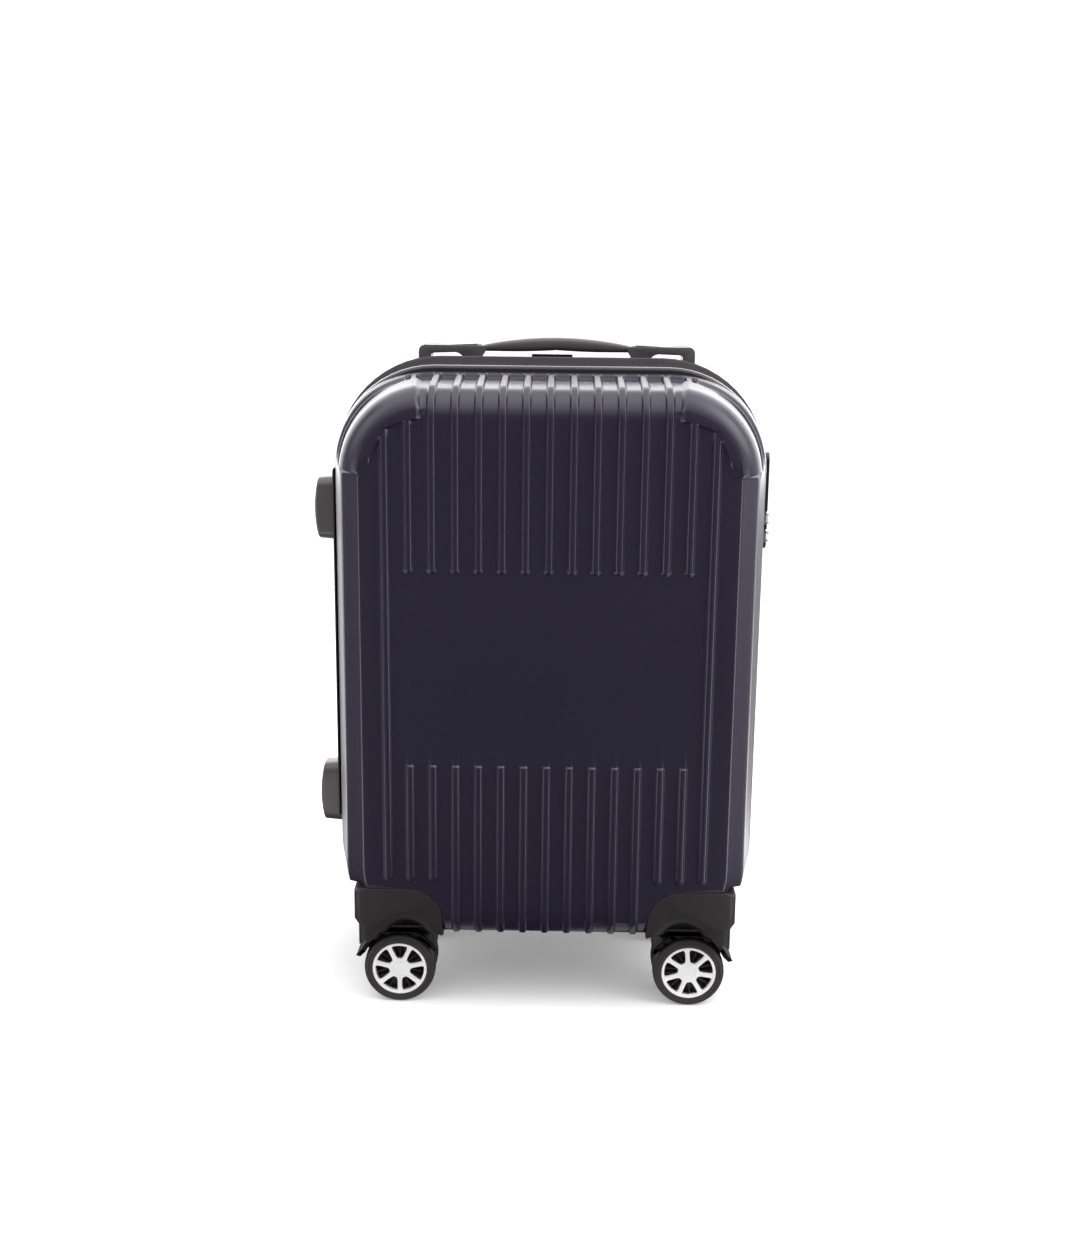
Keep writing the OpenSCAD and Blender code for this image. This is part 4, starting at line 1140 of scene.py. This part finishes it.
def makeHandle():
    lo, hi = low("bracket_right"), high("bracket_right")
    y0, y1, top = lo.y, hi.y, hi.z
    shift = (low("bracket_left").x + hi.x) / 2
    x0, x1 = lo.x - shift, hi.x - shift
    for side, node in ((-1, "bracket_left"), (1, "bracket_right")):
        makeBracket(side, node, shift, x0, x1, y0, y1, top)

    s = gripForm
    midY = (y0 + y1) / 2
    crown, below, tip = high("carry_grip").z, top - s["under"], top - s["tip"]
    reach = x0 - 1.2
    bm = bmesh.new()
    loops = []
    for k in range(49):
        x = -reach + 2 * reach * k / 48
        share = abs(x) / reach
        upper = top - 0.6 + (crown - top + 0.6) * math.cos(share * math.pi / 2) ** 0.8
        under = below - 1.2 * math.sin(share * math.pi) + (tip - below) * share ** 4
        half = s["half"] + s["swell"] * smoothStep((1 - share) / 0.5)
        midZ, rise = (upper + under) / 2, (upper - under) / 2
        ring = []
        for way in [ray(15 * n) for n in range(24)]:
            across = math.copysign(abs(way.x) ** 0.5, way.x)
            upward = math.copysign(abs(way.y) ** 0.65, way.y)
            ring.append(bm.verts.new((x, midY + half * across, midZ + rise * upward)))
        loops.append([bm.edges.new(pair) for pair in zip(ring, ring[1:] + ring[:1])])
    for first, second in zip(loops, loops[1:]):
        bmesh.ops.bridge_loops(bm, edges=first + second)
    bmesh.ops.holes_fill(bm, edges=[e for e in bm.edges if e.is_boundary], sides=0)
    mendNormals(bm)
    foot = low("carry_grip").z + 0.2
    tabEnd = high("carry_grip").x - shift - 0.2
    for side in (-1, 1):
        for start, end, half, height in (
                (reach - 3.2, reach, 7.6, tip + 2), (reach - 4, tabEnd, 7.4, foot + 4.6)):
            left, right = sorted((side * start, side * end))
            block(bm, (left, midY - half, foot), (right, midY + half, height), 0.8)
    move(bm, (shift, 0, 0))
    finish("grip_bow", bm, "carry_grip", "handle", "handle", ["carry_grip"], 40)


makeHandle()
print("feet and handle made")


# ---- frame pieces that keep their meshes

for paintName, width, nodes in (
        ("trim", 0.6, "trolley_bezel"), ("trim", 0.4, "trolley_foot"), ("trim", 0.2, "dial_1 dial_2 dial_3"),
        ("tube", 0, "outer_tubes middle_tubes inner_tubes"), ("steel", 0, "case_screws lid_screws"),
        ("handle", 0.8, "trolley_grip"), ("gloss", 0.5, "grip_button"), ("gloss", 1.5, "lock_body"),
        ("chrome", 0.2, "lock_plate lock_slider pull_tab_upper pull_tab_lower zip_sliders"),
        ("lining", 0, "rear_lining")):
    for node in nodes.split():
        repaint(node, paintName, width)


# ---- inside: the lid's lining with a zipped pocket, and crossed straps over the other half

liningForm = {"depth": 24, "zip": (136, 430), "teeth": 88, "corners": [6, 28, 14, 14, 28, 6, 64, 64],
    "strap": 12, "patch": (15, 14), "buckle": (27, 17), "button": (12, 9)}


def makeLidLining():  # cloth with a zipped pocket
    s = liningForm
    y, (reach, z) = frontFace + s["depth"], s["zip"]
    hx, hz = housingInner - 3, housingTop + 3
    half, top, bottom = rimHalf - 12.5, rimTop - 14, rimBottom + 14
    outline = [(-half, hz), (-hx, hz), (-hx, bottom), (hx, bottom), (hx, hz), (half, hz),
        (half, top), (-half, top)]
    finish("lid_lining", plate(outline, y, 1, s["corners"], 8, 0.3), "lid", "lining", "lining")
    bm = bmesh.new()
    for k in range(s["teeth"]):
        x, up = k * 3 - reach + 5, z + k % 2 * 2
        block(bm, (x, y + 1.4, up), (x + 1.6, y + 2.4, up + 4))
    finish("pocket_teeth", bm, "lid", "teeth", "zip_tape")
    tape = plate(rectangle(-reach, z - 4, reach, z + 10), y + 0.9, 0.8, [3] * 4, 3, 0.3)
    finish("pocket_tape", tape, "lid", "tape", "zip_tape")
    bm = plate([(-134, z - 2), (-122, z - 1), (-122, z + 7), (-134, z + 8)], y + 1.5, 3, [2] * 4, 3, 0.8)
    join(bm, plate([(-128, z + 1), (-104, z), (-104, z + 6), (-128, z + 5)], y + 3.6, 1.2, [2] * 4, 3, 0.3))
    finish("pocket_slider", bm, "lid", "chrome", "lock_metal")


def makeStraps():  # two straps crossed over the rear half, and the buckle where they meet
    s = liningForm
    lo, hi = low("rear_lining"), high("rear_lining")
    wide, tall = s["patch"]
    a, b = Vector((lo.x + 14, lo.z + 70)), Vector((hi.x - 14, hi.z - 50))
    across = Vector((a.y - b.y, b.x - a.x)).normalized() * s["strap"]
    bm = bmesh.new()
    for side, y in ((-1, lo.y - 0.6), (1, lo.y - 2)):
        corners = [(side * p.x, p.y) for p in (a - across, b - across, b + across, a + across)]
        join(bm, plate(corners, y, -1.1, None, 5, 0.3))
        for x, z in ((side * a.x, a.y), (side * b.x, b.y)):
            block(bm, (x - wide, y - 1.8, z - tall), (x + wide, lo.y - 0.2, z + tall), 1)
    mendNormals(bm)
    finish("straps", bm, "case", "web", "lining")
    y, z = lo.y - 3, (lo.z + hi.z) / 2 + 10
    body, button = [rectangle(-w, z - h, w, z + h) for w, h in (s["buckle"], s["button"])]
    bm = plate(body, y, -6, [7] * 4, 5, 1.6)
    join(bm, plate(button, y - 5.5, -2, [5] * 4, 5, 0.8))
    finish("strap_buckle", bm, "case", "gloss", "trim")


makeLidLining()
makeStraps()
makeGussets()
print("linings made")


# ---- camera, floor and light

view = {"height": 0.5967, "distance": 1.1473, "turn": 0.6, "down": 12.82, "roll": 0.62, "aside": 0.0057,
    "lens": 43.48}


def makeCamera():
    data = bpy.data.cameras.new("camera")
    data.lens = view["lens"]
    data.sensor_width = 36
    data.clip_start = 0.05
    camera = bpy.data.objects.new("camera", data)
    scene.collection.objects.link(camera)
    turn = math.radians(view["turn"])
    spot = Vector((caseX + view["aside"], frontFace * mm - view["distance"], view["height"]))
    aim = Matrix.Rotation(turn, 4, "Z") @ Matrix.Rotation(math.radians(90 - view["down"]), 4, "X")
    aim = aim @ Matrix.Rotation(math.radians(view["roll"]), 4, "Z")
    camera.matrix_world = Matrix.Translation(spot) @ aim
    scene.camera = camera


def makeLamp(name, spot, target, size, power):
    data = bpy.data.lights.new(name, "AREA")
    data.shape = "RECTANGLE"
    data.size, data.size_y = size
    data.energy = power
    lamp = bpy.data.objects.new(name, data)
    scene.collection.objects.link(lamp)
    lamp.location = spot
    lamp.rotation_euler = (Vector(target) - Vector(spot)).to_track_quat("-Z", "Y").to_euler()


def makeSheet(name, place, size, turn, material):
    bm = bmesh.new()
    bmesh.ops.create_grid(bm, x_segments=2, y_segments=2, size=0.5)
    stretch(bm, (*size, 1))
    rotate(bm, Matrix.Rotation(math.radians(turn), 3, "X"))
    move(bm, place)
    return makeObject(name, bm, material)


def makeWorld():
    world = bpy.data.worlds.new("studio")
    world.use_nodes = True
    scene.world = world
    nodes = world.node_tree.nodes
    links = world.node_tree.links
    back = nodes["Background"]
    back.inputs[0].default_value = (1, 1, 1, 1)
    path = nodes.new("ShaderNodeLightPath")
    mix = nodes.new("ShaderNodeMix")
    mix.inputs[2].default_value = 0.22  # the level that lights the object
    mix.inputs[3].default_value = 1.0   # the backdrop that the camera sees
    links.new(path.outputs["Is Camera Ray"], mix.inputs[0])
    links.new(mix.outputs[0], back.inputs[1])


def paintedFloorReflections(f, x, y):
    # painted reflections: what polished faces see of the floor, by the way they look: front, edges, sides and
    # back. Its bright bands paint highlights on the case's faces and edges, brighter to the right, and the
    # glow is dimmed near the case as a painted shadow.
    distance = (x * x + y * y + 0.0001).power(0.5)
    way = y * distance.power(-1)
    right = f.ramp(x, -0.1, 0.1)

    def band(centre, width):
        return 1 - f.ramp((way - centre).size(), 0, width)
    glow = (0.16 + band(0.1, 0.6) * (0.3 + right * 0.6) + band(-0.6, 0.22) * (6 + right * 1)
        + band(0.55, 0.2) * (4 + right * 1) + f.ramp(way, 0.7, 0.9) * (1.5 - right * 1.1))
    # painted shadow: reflections of the floor near the case are dimmed
    return glow * (0.1 + 0.9 * f.ramp(distance, 0.25, 0.5))


scene.view_settings.view_transform = "Standard"
makeCamera()
# painted shadow: the floor's glow for the camera is dimmer near the case, and its glow for reflections paints
# highlights and reflections on the case
floor = makeSheet("floor", (0, 0, 0), (14, 14), 0, setFinish("studioFloorPaintedLight", 0.85,
    lambda f, x, y: 0.25 + f.ramp((x * x + y * y).power(0.5), 0.12, 0.4) * 0.65,
    paintedFloorReflections))
backdrop = makeSheet("backdrop", (0, 3.2, 2.5), (14, 5.2), 90, setFinish("studioBackdrop", 0.5,
    lambda f, x, y: 0.9, lambda f, x, y: 4.0))
makeWorld()
for name, (x, y, z), size, powers in (
        ("Side", (1.8, 0.1, 1.2), (1.8, 2.2), (5, 15)),
        ("Front", (1.45, -0.65, 1.2), (0.9, 1.0), (5, 10)),
        ("Top", (1.5, -0.9, 1.9), (1.1, 1.1), (4, 9))):
    makeLamp("left" + name, (-x, y, z), (0, 0, 0.4), size, powers[0])
    makeLamp("right" + name, (x, y, z), (0, 0, 0.4), size, powers[1])
makeLamp("topFront", (0, -1.5, 2.1), (0, 0, 0.3), (2.6, 1.6), 20)
makeLamp("overhead", (0, 0.05, 1.9), (0, 0, 0.3), (2.6, 1.6), 33)
print("camera and light set")
